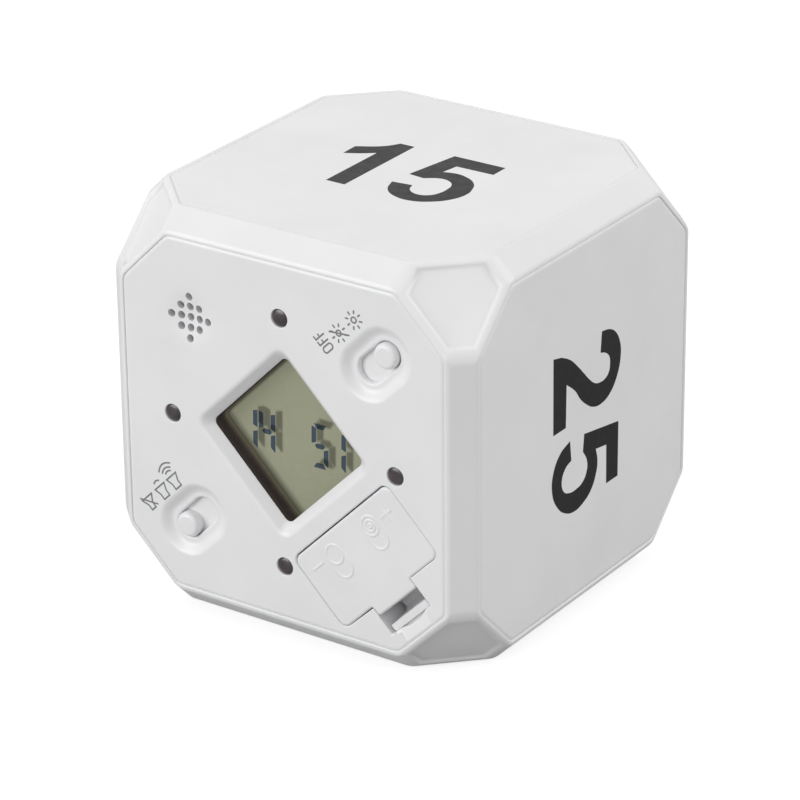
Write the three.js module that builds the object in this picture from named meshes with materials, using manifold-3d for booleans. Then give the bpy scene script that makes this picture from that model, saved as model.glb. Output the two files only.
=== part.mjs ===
import * as THREE from 'three';
import { mergeVertices } from 'three/addons/utils/BufferGeometryUtils.js';
import Module from 'manifold-3d';

// A cube timer: a white plastic cage with six octagonal face plates. One plate is the control
// panel, whose parts are laid out on the face's diagonals around a square display.
// All lengths are in millimetres. The cube stands on its bottom face, at z = 0.

const wasm = await Module();
wasm.setup();

// Cube and its face plates
const edgeChamfer = 3.05;
const rimWidth = 1.0;
const edgeEase = 0.14;
const cornerCut = 7.95;
const cornerRound = 1.8;
const plateThickness = 1.8;
const plateEdgeRound = 0.45;
const plateGap = 0.35;
const plateMargin = 2.1;
const edgeStep = 0.5;
const seatGap = 0.3;
const ledgeWidth = 1.2;
const ledgeThickness = 1.9;
const cornerWall = 3.5;
const weldGap = 0.3;
const facetDepth = 0.5;
const facetSlope = 0.6;
const facetLongBorder = 0.8;
const facetShortBorder = 1.5;
const overrun = 1;

// Snap clips that hold each plate in the cage
const clipWidth = 5;
const clipThickness = 1.2;
const clipShift = 15;
const clipHook = 0.5;
const clipHookHeight = 1.0;

// Display and its window
const windowHalf = 9.4;
const windowBevel = 1.5;
const windowDepth = 1.45;
const windowRound = 1.0;
const bevelRound = 2.0;
const cellBorder = 2.2;
const glassThickness = 1.1;
const contactLedge = 2.4;
const displayDepth = 4.5;
const holderWall = 0.9;
const holderRound = 2.2;
const holderShelf = 1.5;
const holderShelfWidth = 3.0;
const holderRise = 0.6;
const gasketWall = 1.8;
const gasketEase = 0.1;
const lensThickness = 0.6;
const lensLip = 0.4;
const lensGrip = 0.4;
const connectorEase = 0.6;

// Circuit board and the parts on it
const boardThickness = 1.6;
const boardMargin = 1.9;
const chipRadius = 4.0;
const chipHeight = 1.3;
const chipSkirt = 0.4;
const chipAcross = 1.0;
const chipUp = 2.0;
const sensorSize = 7.0;
const sensorHeight = 4.5;
const sensorRound = 0.8;
const sensorUp = 15.0;
const crystalRadius = 1.1;
const crystalLength = 6.2;
const crystalAcross = 11.0;
const crystalUp = 2.0;

// Lamps
const lampRadius = 1.4;
const lampGap = 1.9;
const lampLength = 4.9;
const lampDome = 1.0;
const lampSink = 0.1;
const lampPinWidth = 0.5;
const lampPinSpread = 1.27;

// Slide switches
const knobRadius = 1.9;
const knobRound = 0.35;
const knobSink = 0.1;
const knobTravel = 2.0;
const slotGap = 0.2;
const dishRadius = 4.9;
const dishFloorRadius = 2.8;
const dishDepth = 0.95;
const sliderThickness = 0.8;
const sliderMargin = 0.5;
const sliderLap = 0.7;
const sliderBossHalf = 2.2;
const sliderBossSide = 1.6;
const sliderBossHeight = 2.0;
const railWidth = 1.0;
const railHeight = 1.3;
const switchGap = 4.2;
const leverHalf = 0.75;
const leverFoot = 1.5;
const leverFootHeight = 0.9;
const canHalfWidth = 2.2;
const canHalfLength = 4.4;
const canWall = 0.4;

// Sounder behind its holes
const sounderRadius = 6.0;
const sounderGap = 3.9;
const sounderHeight = 5.5;
const sounderPort = 1.2;
const sounderPortDepth = 1.0;
const foamWidth = 0.8;
const foamThickness = 0.6;
const grillePitch = 1.64;
const grilleRings = 2;
const grilleHoleRadius = 0.6;
const grilleDishRadius = 4.9;
const grilleDishDepth = 0.45;

// Battery door and its folded latch
const doorGap = 1.2;
const doorEndMargin = 0.65;
const doorMargin = 0.85;
const doorThickness = 1.5;
const doorRound = 1.2;
const doorClearance = 0.3;
const doorEdgeRound = 0.25;
const tabRound = 0.5;
const tabHalf = 4.35;
const tabReach = 1.8;
const tabSideGap = 0.5;
const latchOpening = 2.2;
const latchThickness = 0.95;
const latchHalf = 4.15;
const latchSink = 0.5;
const latchDepth = 5.5;
const latchLean = 1.0;
const latchClearance = 0.3;
const scoopHalf = 3.1;
const scoopDepth = 1.1;
const scoopEnd = 0.3;
const hookHalf = 2.0;
const hookPlace = 7.2;
const hookThickness = 0.9;
const hookReach = 1.25;
const hookRoot = 0.9;

// Cells, their tube and contacts
const cellRadius = 5.25;
const cellLength = 44.5;
const cellSpacing = 0.5;
const cellEdgeRound = 0.5;
const nubRadius = 1.9;
const nubHeight = 1.0;
const boreGap = 0.35;
const tubeWall = 0.9;
const tubeEndWall = 1.5;
const contactThickness = 0.3;
const contactHalfWidth = 3.4;
const springLength = 3.2;
const springTurns = 3.5;
const springRadius = 2.8;
const springTipRadius = 1.7;
const springWire = 0.25;
const dimpleRadius = 2.0;
const dimpleTip = 1.0;
const solderTabHalf = 1.0;
const solderTabReach = 1.6;
const wireRadius = 0.55;
const wireBend = 3.0;
const wireClearance = 1.0;

// Screws
const shankRadius = 0.85;
const screwHeadRadius = 1.8;
const screwHeadHeight = 1.2;
const screwCrownRadius = 1.3;
const screwLength = 6.0;
const recessHalf = 0.9;
const recessWidth = 0.35;
const recessDepth = 0.7;
const bossWall = 0.75;
const earThickness = 1.5;
const earInset = 1.8;

// Counts of steps on round forms
const cornerSteps = 3;
const smallRoundSteps = 10;
const roundSteps = 16;
const wideRoundSteps = 24;
const wireSides = 6;
const wireSteps = 18;
const springSides = 5;
const stepsPerTurn = 7;

// Places worked out from the sizes above
const behindPlate = plateThickness + seatGap;
const wallDepth = behindPlate + ledgeThickness;
const cellHalf = windowHalf + cellBorder;
const gasketTop = windowDepth + seatGap;
const lensDepth = gasketTop + lensLip + seatGap;
const holderHalf = cellHalf + seatGap + holderWall;
const displayStack = displayDepth + 2 * glassThickness + holderShelf + 2 * seatGap;
const sounderStack = behindPlate + foamThickness + sounderHeight + 2 * seatGap;
const boardDepth = Math.max(displayStack, sounderStack);
const boardBack = boardDepth + boardThickness + seatGap;
const lampPlace = (Math.SQRT2 * cellHalf + lampGap + lampRadius) / Math.SQRT2;
const slotRadius = knobRadius + slotGap;
const sliderHalfLength = slotRadius + 2 * knobTravel + seatGap;
const sliderHalfWidth = slotRadius + sliderLap;
const sliderBack = behindPlate + sliderThickness;
const switchPlace = holderHalf + switchGap + sliderHalfLength;
const sounderPlace = holderHalf + sounderGap + sounderRadius;
const doorTop = holderHalf + doorGap;
const cellPitch = 2 * cellRadius + cellSpacing;
const cellPlace = doorTop + doorMargin + cellRadius;
const doorBottom = cellPlace + cellRadius + doorMargin;
const doorHalfLength = cellPitch / 2 + cellRadius + doorEndMargin;
const tabEnd = doorBottom + tabReach;
const latchInner = tabEnd + latchOpening;
const latchOuter = latchInner + latchThickness;
const slotEnd = latchOuter + latchClearance;
const boreRadius = cellRadius + boreGap;
const tubeRadius = boreRadius + tubeWall;
const contactDepth = doorThickness + seatGap;
const contactFace = contactDepth + contactThickness;
const terminalFace = contactFace + springLength + cellLength + nubHeight + 2 * seatGap;
const tubeFloor = terminalFace + contactThickness + seatGap;
const tubeEnd = tubeFloor + tubeEndWall;
const wireStart = tubeEnd + solderTabReach + seatGap;
const wireFar = wireStart + wireBend;
const shankHole = shankRadius + seatGap;
const bossRadius = shankHole + bossWall;
const earDepth = boardDepth - earThickness - seatGap;
const earPlace = cellPitch / 2 + tubeRadius + bossRadius + seatGap;
const boardScrewSide = sliderHalfWidth + seatGap + railWidth + bossRadius + earInset;
const clipDepth = wallDepth + seatGap + clipHookHeight;

// The cube is as large as its panel or its cells need, in even steps
const sliderEnd = switchPlace + knobTravel + sliderHalfLength;
const panelReach = Math.max(slotEnd + plateMargin, sliderEnd + sliderMargin + ledgeWidth);
const panelEdge = Math.SQRT2 * panelReach + cornerCut + 2 * (rimWidth + edgeChamfer);
const bossReach = (earPlace + cellPlace) / Math.SQRT2 + bossRadius + seatGap;
const bossEdge = 2 * (bossReach + ledgeWidth + rimWidth + edgeChamfer);
const cellEdge = wireFar + wireRadius + wireClearance + plateThickness;
const edgeLength = edgeStep * Math.ceil(Math.max(panelEdge, bossEdge, cellEdge) / edgeStep);
const half = edgeLength / 2;
const plateHalf = half - edgeChamfer - rimWidth;
const facetSum = half + 2 * plateHalf - cornerCut + rimWidth * Math.SQRT2;
const ledgeHalf = plateHalf - ledgeWidth;
const cavityHalf = half - wallDepth;
const boardHalf = ledgeHalf - boardMargin;

const quarterTurn = Math.PI / 2;
const fullTurn = 2 * Math.PI;

// Outlines

function point(x, y) {
  return new THREE.Vector2(x, y);
}

function arc(centre, radius, from, sweep, steps) {
  const points = [];
  for (let i = 0; i <= steps; i += 1) {
    const angle = from + sweep * i / steps;
    points.push(point(centre.x + radius * Math.cos(angle), centre.y + radius * Math.sin(angle)));
  }
  return points;
}

function circle(radius, steps, centre = point(0, 0)) {
  return arc(centre, radius, 0, fullTurn, steps).slice(0, steps);
}

function rounded(corners, commonRadius, ownRadii = []) {
  return corners.flatMap((corner, i) => {
    const radius = ownRadii[i] ?? commonRadius;
    const before = corners[(i + corners.length - 1) % corners.length].clone().sub(corner).normalize();
    const after = corners[(i + 1) % corners.length].clone().sub(corner).normalize();
    const halfAngle = Math.acos(before.dot(after)) / 2;
    const turnsLeft = after.cross(before) > 0;
    const centre = before.clone().add(after).setLength(radius / Math.sin(halfAngle)).add(corner);
    const start = before.multiplyScalar(radius / Math.tan(halfAngle)).add(corner).sub(centre);
    const sweep = (Math.PI - 2 * halfAngle) * (turnsLeft ? 1 : -1);
    return arc(centre, radius, Math.atan2(start.y, start.x), sweep, cornerSteps);
  });
}

function rectangle(left, low, right, high) {
  return [point(left, low), point(right, low), point(right, high), point(left, high)];
}

function square(halfSide, radius) {
  return rounded(rectangle(-halfSide, -halfSide, halfSide, halfSide), radius);
}

function stadium(straightHalf, radius, centre = point(0, 0), steps = roundSteps / 2) {
  const right = arc(point(centre.x + straightHalf, centre.y), radius, -quarterTurn, Math.PI, steps);
  const left = arc(point(centre.x - straightHalf, centre.y), radius, quarterTurn, Math.PI, steps);
  return [...right, ...left];
}

function octagon(inset) {
  const side = plateHalf - inset;
  const cut = cornerCut - inset * (2 - Math.SQRT2);
  const flat = side - cut;
  const corners = [[side, -flat], [side, flat], [flat, side], [-flat, side],
    [-side, flat], [-side, -flat], [-flat, -side], [flat, -side]];
  return rounded(corners.map(([x, y]) => point(x, y)), cornerRound);
}

// Solids

function solidOf(geometry) {
  const bare = geometry.clone();
  bare.deleteAttribute('normal');
  bare.deleteAttribute('uv');
  const welded = mergeVertices(bare);
  const corners = [];
  for (let i = 0; i < welded.index.count; i += 3) {
    const [a, b, c] = [0, 1, 2].map((k) => welded.index.getX(i + k));
    if (a !== b && b !== c && c !== a) {
      corners.push(a, b, c);
    }
  }
  return new wasm.Manifold(new wasm.Mesh({
    numProp: 3,
    vertProperties: welded.attributes.position.array,
    triVerts: Uint32Array.from(corners),
  }));
}

function geometryOf(solid) {
  const mesh = solid.getMesh();
  const geometry = new THREE.BufferGeometry();
  geometry.setAttribute('position', new THREE.BufferAttribute(mesh.vertProperties, 3));
  geometry.setIndex(new THREE.BufferAttribute(mesh.triVerts, 1));
  return geometry;
}

function joined(solids) {
  return solids.reduce((whole, solid) => whole.add(solid));
}

function cut(solid, cutters) {
  return cutters.reduce((rest, cutter) => rest.subtract(cutter), solid);
}

// Closed form through outlines of equal point count, each at its own height
function loftGeometry(layers) {
  const count = layers[0].outline.length;
  const places = layers.flatMap(({ outline, z }) => outline.flatMap((p) => [p.x, p.y, z]));
  const faces = [];
  for (let layer = 0; layer < layers.length - 1; layer += 1) {
    for (let i = 0; i < count; i += 1) {
      const low = layer * count + i;
      const next = layer * count + (i + 1) % count;
      faces.push(low, next, next + count, low, next + count, low + count);
    }
  }
  const top = (layers.length - 1) * count;
  THREE.ShapeUtils.triangulateShape(layers[0].outline, []).forEach(([a, b, c]) => faces.push(c, b, a));
  THREE.ShapeUtils.triangulateShape(layers.at(-1).outline, []).forEach(([a, b, c]) => {
    faces.push(top + a, top + b, top + c);
  });
  const geometry = new THREE.BufferGeometry();
  geometry.setAttribute('position', new THREE.Float32BufferAttribute(places, 3));
  geometry.setIndex(faces);
  return geometry;
}

function loft(layers) {
  return solidOf(loftGeometry(layers));
}

// Straight-sided form between two depths behind the face, which is at depth zero
function slab(outline, deep, shallow) {
  const shape = new THREE.Shape(outline);
  const geometry = new THREE.ExtrudeGeometry(shape, { depth: deep - shallow, bevelEnabled: false });
  return solidOf(geometry.translate(0, 0, -deep));
}

function box(left, low, right, high, deep, shallow) {
  return slab(rectangle(left, low, right, high), deep, shallow);
}

function bar(centre, halfLength, halfWidth, deep, shallow) {
  const { x, y } = centre;
  return box(x - halfLength, y - halfWidth, x + halfLength, y + halfWidth, deep, shallow);
}

// Round form from radius and depth pairs, deepest first, about an axis through a place on the face
function turned(profile, steps, centre = point(0, 0)) {
  const lathe = new THREE.LatheGeometry(profile.map(([radius, depth]) => point(radius, -depth)), steps);
  return solidOf(lathe.rotateX(quarterTurn).translate(centre.x, centre.y, 0));
}

function disc(centre, radius, deep, shallow, steps = smallRoundSteps) {
  return slab(circle(radius, steps, centre), deep, shallow);
}

// Cage

const axes = {
  right: new THREE.Vector3(1, 0, 0),
  back: new THREE.Vector3(0, 1, 0),
  up: new THREE.Vector3(0, 0, 1),
};
const opposite = (axis) => axis.clone().negate();

const faces = {
  front: { out: opposite(axes.back), up: axes.up },
  top: { out: axes.up, up: axes.back },
  right: { out: axes.right, up: axes.back },
  left: { out: opposite(axes.right), up: axes.back },
  bottom: { out: opposite(axes.up), up: axes.back },
  rear: { out: axes.back, up: axes.up },
};

function faceMatrix({ out, up }) {
  const across = up.clone().cross(out);
  return new THREE.Matrix4().makeBasis(across, up, out).setPosition(out.clone().multiplyScalar(half));
}

function easedCube() {
  let cube = solidOf(new THREE.BoxGeometry(edgeLength, edgeLength, edgeLength));
  const chamferSide = Math.SQRT2 * (edgeLength - edgeChamfer);
  const easeAngle = quarterTurn / 4;
  const flatEnd = half - edgeChamfer;
  const easeSide = 2 * (half * Math.cos(easeAngle) + flatEnd * Math.sin(easeAngle) - edgeEase);
  const cuts = [[chamferSide, quarterTurn / 2], [easeSide, easeAngle], [easeSide, -easeAngle]];
  for (const turn of ['rotateX', 'rotateY', 'rotateZ']) {
    for (const [side, angle] of cuts) {
      const block = new THREE.BoxGeometry(side, side, side);
      cube = cube.intersect(solidOf(block[turn](angle)));
    }
  }
  return cube.intersect(solidOf(new THREE.OctahedronGeometry(facetSum)));
}

// Recess of a corner facet: a hexagon with three long and three short sides
function facetRecess(signs) {
  const inward = new THREE.Vector3(...signs).negate().normalize();
  const planeStep = Math.sqrt(3 / 2);
  const hexagon = (inset, sum) => {
    const high = half - (facetLongBorder + inset) / planeStep;
    const low = sum - (edgeLength - edgeChamfer) + (facetShortBorder + inset) / planeStep;
    const middle = sum - high - low;
    return [[low, middle, high], [middle, low, high], [high, low, middle],
      [high, middle, low], [middle, high, low], [low, high, middle]];
  };
  const place = (corner, depth) => new THREE.Vector3(...corner.map((value, i) => value * signs[i]))
    .addScaledVector(inward, depth);
  const rim = hexagon(0, facetSum);
  const outer = rim.map((corner) => place(corner, -facetDepth));
  const edge = rim.map((corner) => place(corner, 0));
  const floor = hexagon(facetSlope, facetSum).map((corner) => place(corner, facetDepth));
  const geometry = new THREE.BufferGeometry();
  const places = [...outer, ...edge, ...floor].flatMap((corner) => corner.toArray());
  geometry.setAttribute('position', new THREE.Float32BufferAttribute(places, 3));
  const mirrored = signs[0] * signs[1] * signs[2] < 0;
  const triangles = [];
  const add = (a, b, c) => triangles.push(...(mirrored ? [a, b, c] : [a, c, b]));
  const sides = rim.length;
  for (let ring = 0; ring < 2 * sides; ring += sides) {
    for (let i = 0; i < sides; i += 1) {
      const next = (i + 1) % sides;
      add(ring + i, ring + sides + next, ring + next);
      add(ring + i, ring + sides + i, ring + sides + next);
    }
  }
  for (let i = 1; i < sides - 1; i += 1) {
    add(0, i, i + 1);
    add(2 * sides, 2 * sides + i + 1, 2 * sides + i);
  }
  geometry.setIndex(triangles);
  return solidOf(geometry);
}

function cageSolid() {
  const cavitySide = 2 * cavityHalf;
  const cavityBox = solidOf(new THREE.BoxGeometry(cavitySide, cavitySide, cavitySide));
  const cornerLimit = facetSum - cornerWall * Math.sqrt(3);
  const cavity = cavityBox.intersect(solidOf(new THREE.OctahedronGeometry(cornerLimit)));
  const cutters = [cavity];
  for (const face of Object.values(faces)) {
    const seat = loftGeometry([
      { outline: octagon(-plateGap), z: -behindPlate },
      { outline: octagon(-plateGap), z: overrun },
    ]);
    const opening = loftGeometry([
      { outline: octagon(ledgeWidth), z: -wallDepth - overrun },
      { outline: octagon(ledgeWidth), z: 0 },
    ]);
    const matrix = faceMatrix(face);
    cutters.push(solidOf(seat.applyMatrix4(matrix)), solidOf(opening.applyMatrix4(matrix)));
  }
  for (const x of [1, -1]) {
    for (const y of [1, -1]) {
      for (const z of [1, -1]) {
        cutters.push(facetRecess([x, y, z]));
      }
    }
  }
  return cut(easedCube(), cutters);
}

// The cage is welded from two halves, which meet in the middle of its side openings
function cageHalf(cage, side) {
  const reach = edgeLength + overrun;
  const keep = new THREE.BoxGeometry(reach, reach, reach);
  return cage.intersect(solidOf(keep.translate(0, side * (reach + weldGap) / 2, 0)));
}

// Face plates

function clipGeometries() {
  const outside = ledgeHalf - seatGap;
  const inside = outside - clipThickness;
  const low = clipShift - clipWidth / 2;
  const high = clipShift + clipWidth / 2;
  const hookTop = wallDepth + seatGap;
  const profile = [[inside, clipDepth], [outside, clipDepth], [outside + clipHook, hookTop + clipHook],
    [outside + clipHook, hookTop], [outside, hookTop], [outside, 0], [inside, 0]];
  const shape = new THREE.Shape(profile.map(([x, depth]) => point(x, -depth)));
  const clip = new THREE.ExtrudeGeometry(shape, { depth: high - low, bevelEnabled: false });
  clip.rotateX(quarterTurn).translate(0, high, 0);
  return [0, 1, 2, 3].map((side) => clip.clone().rotateZ(side * quarterTurn));
}

// Plate with a rounded edge and four clips, which fit under the cage's ledge
function plateSolid(turn = 0) {
  const ease = plateEdgeRound;
  const eased = ease * (1 - Math.SQRT1_2);
  const plate = loftGeometry([
    { outline: octagon(0), z: -plateThickness },
    { outline: octagon(0), z: -ease },
    { outline: octagon(eased), z: -eased },
    { outline: octagon(ease), z: 0 },
  ]);
  const clips = clipGeometries().map((clip) => {
    const shorter = clip.translate(0, 0, -plateThickness / 2);
    return solidOf(shorter.rotateZ(turn));
  });
  const reach = box(-half, -half, half, half, clipDepth, plateThickness / 2);
  return joined([solidOf(plate.rotateZ(turn)), ...clips.map((clip) => clip.intersect(reach))]);
}

// Control panel, in the frame whose u axis runs to the face's upper right

function grilleHoles() {
  const holes = [];
  for (let i = -grilleRings; i <= grilleRings; i += 1) {
    for (let j = -grilleRings; j <= grilleRings; j += 1) {
      if (Math.abs(i) + Math.abs(j) <= grilleRings) {
        const u = (i + j) * grillePitch / Math.SQRT2;
        const v = sounderPlace + (j - i) * grillePitch / Math.SQRT2;
        holes.push(disc(point(u, v), grilleHoleRadius, behindPlate, -overrun));
      }
    }
  }
  return holes;
}

function grilleDish() {
  const sphere = (grilleDishRadius ** 2 + grilleDishDepth ** 2) / (2 * grilleDishDepth);
  const shareSteps = [0, 0.35, 0.7, 1];
  const profile = shareSteps.map((share) => {
    const radius = share * grilleDishRadius;
    return [radius, grilleDishDepth - sphere + Math.sqrt(sphere ** 2 - radius ** 2)];
  });
  profile.push([grilleDishRadius, -overrun], [0, -overrun]);
  return turned(profile, wideRoundSteps, point(0, sounderPlace));
}

function windowCut() {
  const inner = square(windowHalf, windowRound);
  return loft([
    { outline: inner, z: -behindPlate },
    { outline: inner, z: -windowDepth },
    { outline: square(windowHalf + windowBevel, bevelRound), z: 0 },
    { outline: square(windowHalf + windowBevel, bevelRound), z: overrun },
  ]);
}

function switchDish(centre) {
  const layers = [];
  const wallShares = [0, 0.25, 0.5, 0.75, 1];
  for (const share of wallShares) {
    const radius = dishFloorRadius + share * (dishRadius - dishFloorRadius);
    const depth = dishDepth * (1 + Math.cos(share * Math.PI)) / 2;
    layers.push({ outline: stadium(knobTravel, radius, centre), z: -depth });
  }
  layers.push({ outline: stadium(knobTravel, dishRadius, centre), z: overrun });
  return loft(layers);
}

function doorOutline(grow, tab) {
  const side = doorHalfLength + grow;
  const low = -doorBottom - grow;
  const high = -doorTop + grow;
  const tabSide = tabHalf + grow;
  const corners = tab
    ? [[side, low], [side, high], [-side, high], [-side, low], [-tabSide, low],
      [-tabSide, -tabEnd], [tabSide, -tabEnd], [tabSide, low]]
    : [[side, low], [side, high], [-side, high], [-side, low]];
  return corners.map(([u, v]) => point(u, v));
}

function doorOpening() {
  const slotSide = tabHalf + tabSideGap;
  return [
    slab(rounded(doorOutline(doorClearance, false), doorRound), behindPlate, -overrun),
    box(-slotSide, -slotEnd, slotSide, -doorBottom, behindPlate, -overrun),
  ];
}

// Shallow scoop beside the latch, for a finger tip
function fingerScoop() {
  const beyond = (2 * plateHalf - cornerCut) / Math.SQRT2 + overrun;
  const profile = [[-slotEnd - overrun, -overrun], [-slotEnd + overrun, -overrun],
    [-slotEnd + overrun, scoopDepth], [-slotEnd, scoopDepth], [-beyond, scoopEnd], [-beyond, -overrun]];
  const shape = new THREE.Shape(profile.map(([v, depth]) => point(v, -depth)));
  const scoop = new THREE.ExtrudeGeometry(shape, { depth: 2 * scoopHalf, bevelEnabled: false });
  scoop.translate(0, 0, -scoopHalf);
  scoop.applyMatrix4(new THREE.Matrix4().makeBasis(axes.back, axes.up, axes.right));
  return solidOf(scoop);
}

const switchSides = { lamp: 1, sound: -1 };
const boardScrews = [];
for (const u of [1, -1]) {
  for (const v of [1, -1]) {
    boardScrews.push(point(u * switchPlace, v * boardScrewSide));
  }
}
const tubeScrews = [1, -1].map((side) => point(side * earPlace, -cellPlace));
const lamps = {
  top: point(lampPlace, lampPlace),
  right: point(lampPlace, -lampPlace),
  bottom: point(-lampPlace, -lampPlace),
  left: point(-lampPlace, lampPlace),
};

function panelSolid() {
  const inPlate = plateThickness - seatGap;
  const additions = [];
  for (const screw of boardScrews) {
    additions.push(disc(screw, bossRadius, boardDepth - seatGap, inPlate, smallRoundSteps));
  }
  for (const screw of tubeScrews) {
    additions.push(disc(screw, bossRadius, earDepth - seatGap, inPlate, smallRoundSteps));
  }
  const cutters = [
    windowCut(),
    slab(square(windowHalf + gasketWall + seatGap, windowRound), behindPlate, windowDepth),
    grilleDish(),
    ...grilleHoles(),
    ...doorOpening(),
    fingerScoop(),
  ];
  for (const place of Object.values(lamps)) {
    cutters.push(disc(place, lampRadius + slotGap, behindPlate, -overrun, roundSteps));
  }
  for (const side of Object.values(switchSides)) {
    const centre = point(side * switchPlace, 0);
    for (const edge of [1, -1]) {
      const rail = point(centre.x, edge * (sliderHalfWidth + seatGap + railWidth / 2));
      additions.push(bar(rail, sliderHalfLength, railWidth / 2, plateThickness + railHeight, inPlate));
    }
    cutters.push(switchDish(centre), slab(stadium(knobTravel, slotRadius, centre), behindPlate, -overrun));
  }
  for (const screw of [...boardScrews, ...tubeScrews]) {
    cutters.push(disc(screw, shankHole, boardDepth, behindPlate, smallRoundSteps));
  }
  return cut(joined([plateSolid(-quarterTurn / 2), ...additions]), cutters);
}

// Display

function gasketSolid() {
  const outer = square(windowHalf + gasketWall, windowRound);
  const inner = square(windowHalf + gasketEase, windowRound);
  const groove = square(windowHalf + gasketEase + lensGrip + seatGap, windowRound);
  const grooveEnd = lensDepth + lensThickness + seatGap;
  return cut(slab(outer, displayDepth - seatGap, gasketTop), [
    slab(inner, displayDepth, 0),
    slab(groove, grooveEnd, gasketTop + lensLip),
  ]);
}

function lensSolid() {
  const outline = square(windowHalf + gasketEase + lensGrip, windowRound);
  return slab(outline, lensDepth + lensThickness, lensDepth);
}

function displayCellSolid() {
  const middle = displayDepth + glassThickness;
  return joined([
    box(-cellHalf, -cellHalf, cellHalf, cellHalf, middle, displayDepth),
    box(-cellHalf, -cellHalf, cellHalf, cellHalf - contactLedge, middle + glassThickness, middle),
  ]);
}

function displayHolderSolid() {
  const deep = boardDepth - seatGap;
  const shelf = displayDepth + 2 * glassThickness + seatGap;
  const pocket = cellHalf + seatGap;
  const window = cellHalf - holderShelfWidth;
  return cut(slab(square(holderHalf, holderRound), deep, displayDepth - holderRise), [
    box(-pocket, -pocket, pocket, pocket, shelf, 0),
    box(-window, -window, window, cellHalf - contactLedge, boardDepth, 0),
    box(-pocket, cellHalf - contactLedge, pocket, pocket, boardDepth, 0),
  ]);
}

function connectorSolid() {
  const low = cellHalf - contactLedge + seatGap;
  const deep = boardDepth - seatGap;
  const shallow = displayDepth + glassThickness + seatGap;
  return box(-cellHalf + connectorEase, low, cellHalf - connectorEase, cellHalf, deep, shallow);
}

// Circuit board

function boardSolid() {
  const outline = octagon(plateHalf - boardHalf);
  const board = loftGeometry([
    { outline, z: -boardDepth - boardThickness },
    { outline, z: -boardDepth },
  ]);
  const below = lampPlace + lampRadius + earInset / 2;
  const tubeSide = cellPitch / 2 + tubeRadius + seatGap;
  const holes = boardScrews.map((screw) => disc(screw, shankHole, boardBack, 0, smallRoundSteps));
  return cut(solidOf(board.rotateZ(-quarterTurn / 2)), [
    box(-edgeLength, -edgeLength, edgeLength, -below, boardBack, 0),
    box(-tubeSide, -edgeLength, tubeSide, -cellPlace + tubeRadius + seatGap, boardBack, 0),
    ...holes,
  ]);
}

function chipSolid() {
  const crown = chipHeight - chipSkirt;
  const dome = [];
  for (let i = 0; i <= cornerSteps; i += 1) {
    const angle = quarterTurn * i / cornerSteps;
    const depth = boardBack + chipSkirt + crown * Math.cos(angle);
    dome.push([chipRadius * Math.sin(angle), depth]);
  }
  return turned([...dome, [chipRadius, boardBack], [0, boardBack]], roundSteps, point(chipAcross, chipUp));
}

function sensorSolid() {
  const side = sensorSize / 2;
  const corners = rectangle(-side, sensorUp - side, side, sensorUp + side);
  return slab(rounded(corners, sensorRound), boardBack + sensorHeight, boardBack);
}

function crystalSolid() {
  const can = new THREE.CylinderGeometry(crystalRadius, crystalRadius, crystalLength, smallRoundSteps);
  can.translate(crystalAcross, crystalUp, -boardBack - crystalRadius);
  return solidOf(can);
}

function lampSolid(place) {
  const base = lampSink + lampLength;
  const shoulder = lampSink + lampDome;
  const domeShares = [1, 0.75, 0.5, 0.25];
  const dome = domeShares.map((share) => {
    const angle = share * quarterTurn;
    return [lampRadius * Math.sin(angle), shoulder - lampDome * Math.cos(angle)];
  });
  const body = turned([[0, base], [lampRadius, base], ...dome, [0, lampSink]], roundSteps, place);
  const pins = [1, -1].map((side) => {
    const centre = point(place.x + side * lampPinSpread / 2, place.y);
    return bar(centre, lampPinWidth / 2, lampPinWidth / 2, boardDepth - seatGap, base - seatGap);
  });
  return joined([body, ...pins]);
}

// Slide switches, each resting at the outer end of its slot

function knobSolid(side) {
  const centre = point(side * (switchPlace + knobTravel), 0);
  const top = knobSink;
  const eased = knobRound * (1 - Math.SQRT1_2);
  const knob = turned([
    [0, sliderBack], [knobRadius, sliderBack], [knobRadius, top + knobRound],
    [knobRadius - eased, top + eased], [knobRadius - knobRound, top], [0, top],
  ], roundSteps, centre);
  const plate = bar(centre, sliderHalfLength, sliderHalfWidth, sliderBack, behindPlate);
  const boss = bar(centre, sliderBossHalf, sliderBossSide, sliderBack + sliderBossHeight, sliderBack);
  const pocketHalf = leverHalf + seatGap;
  const pocket = bar(centre, pocketHalf, pocketHalf, sliderBack + sliderBossHeight + overrun, sliderBack);
  return cut(joined([knob, plate, boss]), [pocket]);
}

const canTop = sliderBack + sliderBossHeight + seatGap;
const canBottom = boardDepth - seatGap;

function leverSolid(side) {
  const centre = point(side * (switchPlace + knobTravel), 0);
  const footTop = canTop + canWall + seatGap;
  return joined([
    bar(centre, leverHalf, leverHalf, footTop, sliderBack + seatGap),
    bar(centre, leverFoot, leverFoot, footTop + leverFootHeight, footTop),
  ]);
}

function canSolid(side) {
  const centre = point(side * switchPlace, 0);
  const slotHalf = leverHalf + knobTravel + seatGap;
  return cut(bar(centre, canHalfLength, canHalfWidth, canBottom, canTop), [
    bar(centre, canHalfLength - canWall, canHalfWidth - canWall, canBottom - canWall, canTop + canWall),
    bar(centre, slotHalf, leverHalf + seatGap, canTop + canWall, canTop - overrun),
  ]);
}

// Sounder

const sounderTop = boardDepth - seatGap - sounderHeight;

function sounderSolid() {
  const deep = sounderTop + sounderHeight;
  const eased = sounderRadius - plateEdgeRound;
  return turned([
    [0, deep], [sounderRadius, deep], [sounderRadius, sounderTop + plateEdgeRound], [eased, sounderTop],
    [sounderPort, sounderTop], [sounderPort, sounderTop + sounderPortDepth],
    [0, sounderTop + sounderPortDepth],
  ], wideRoundSteps, point(0, sounderPlace));
}

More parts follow.
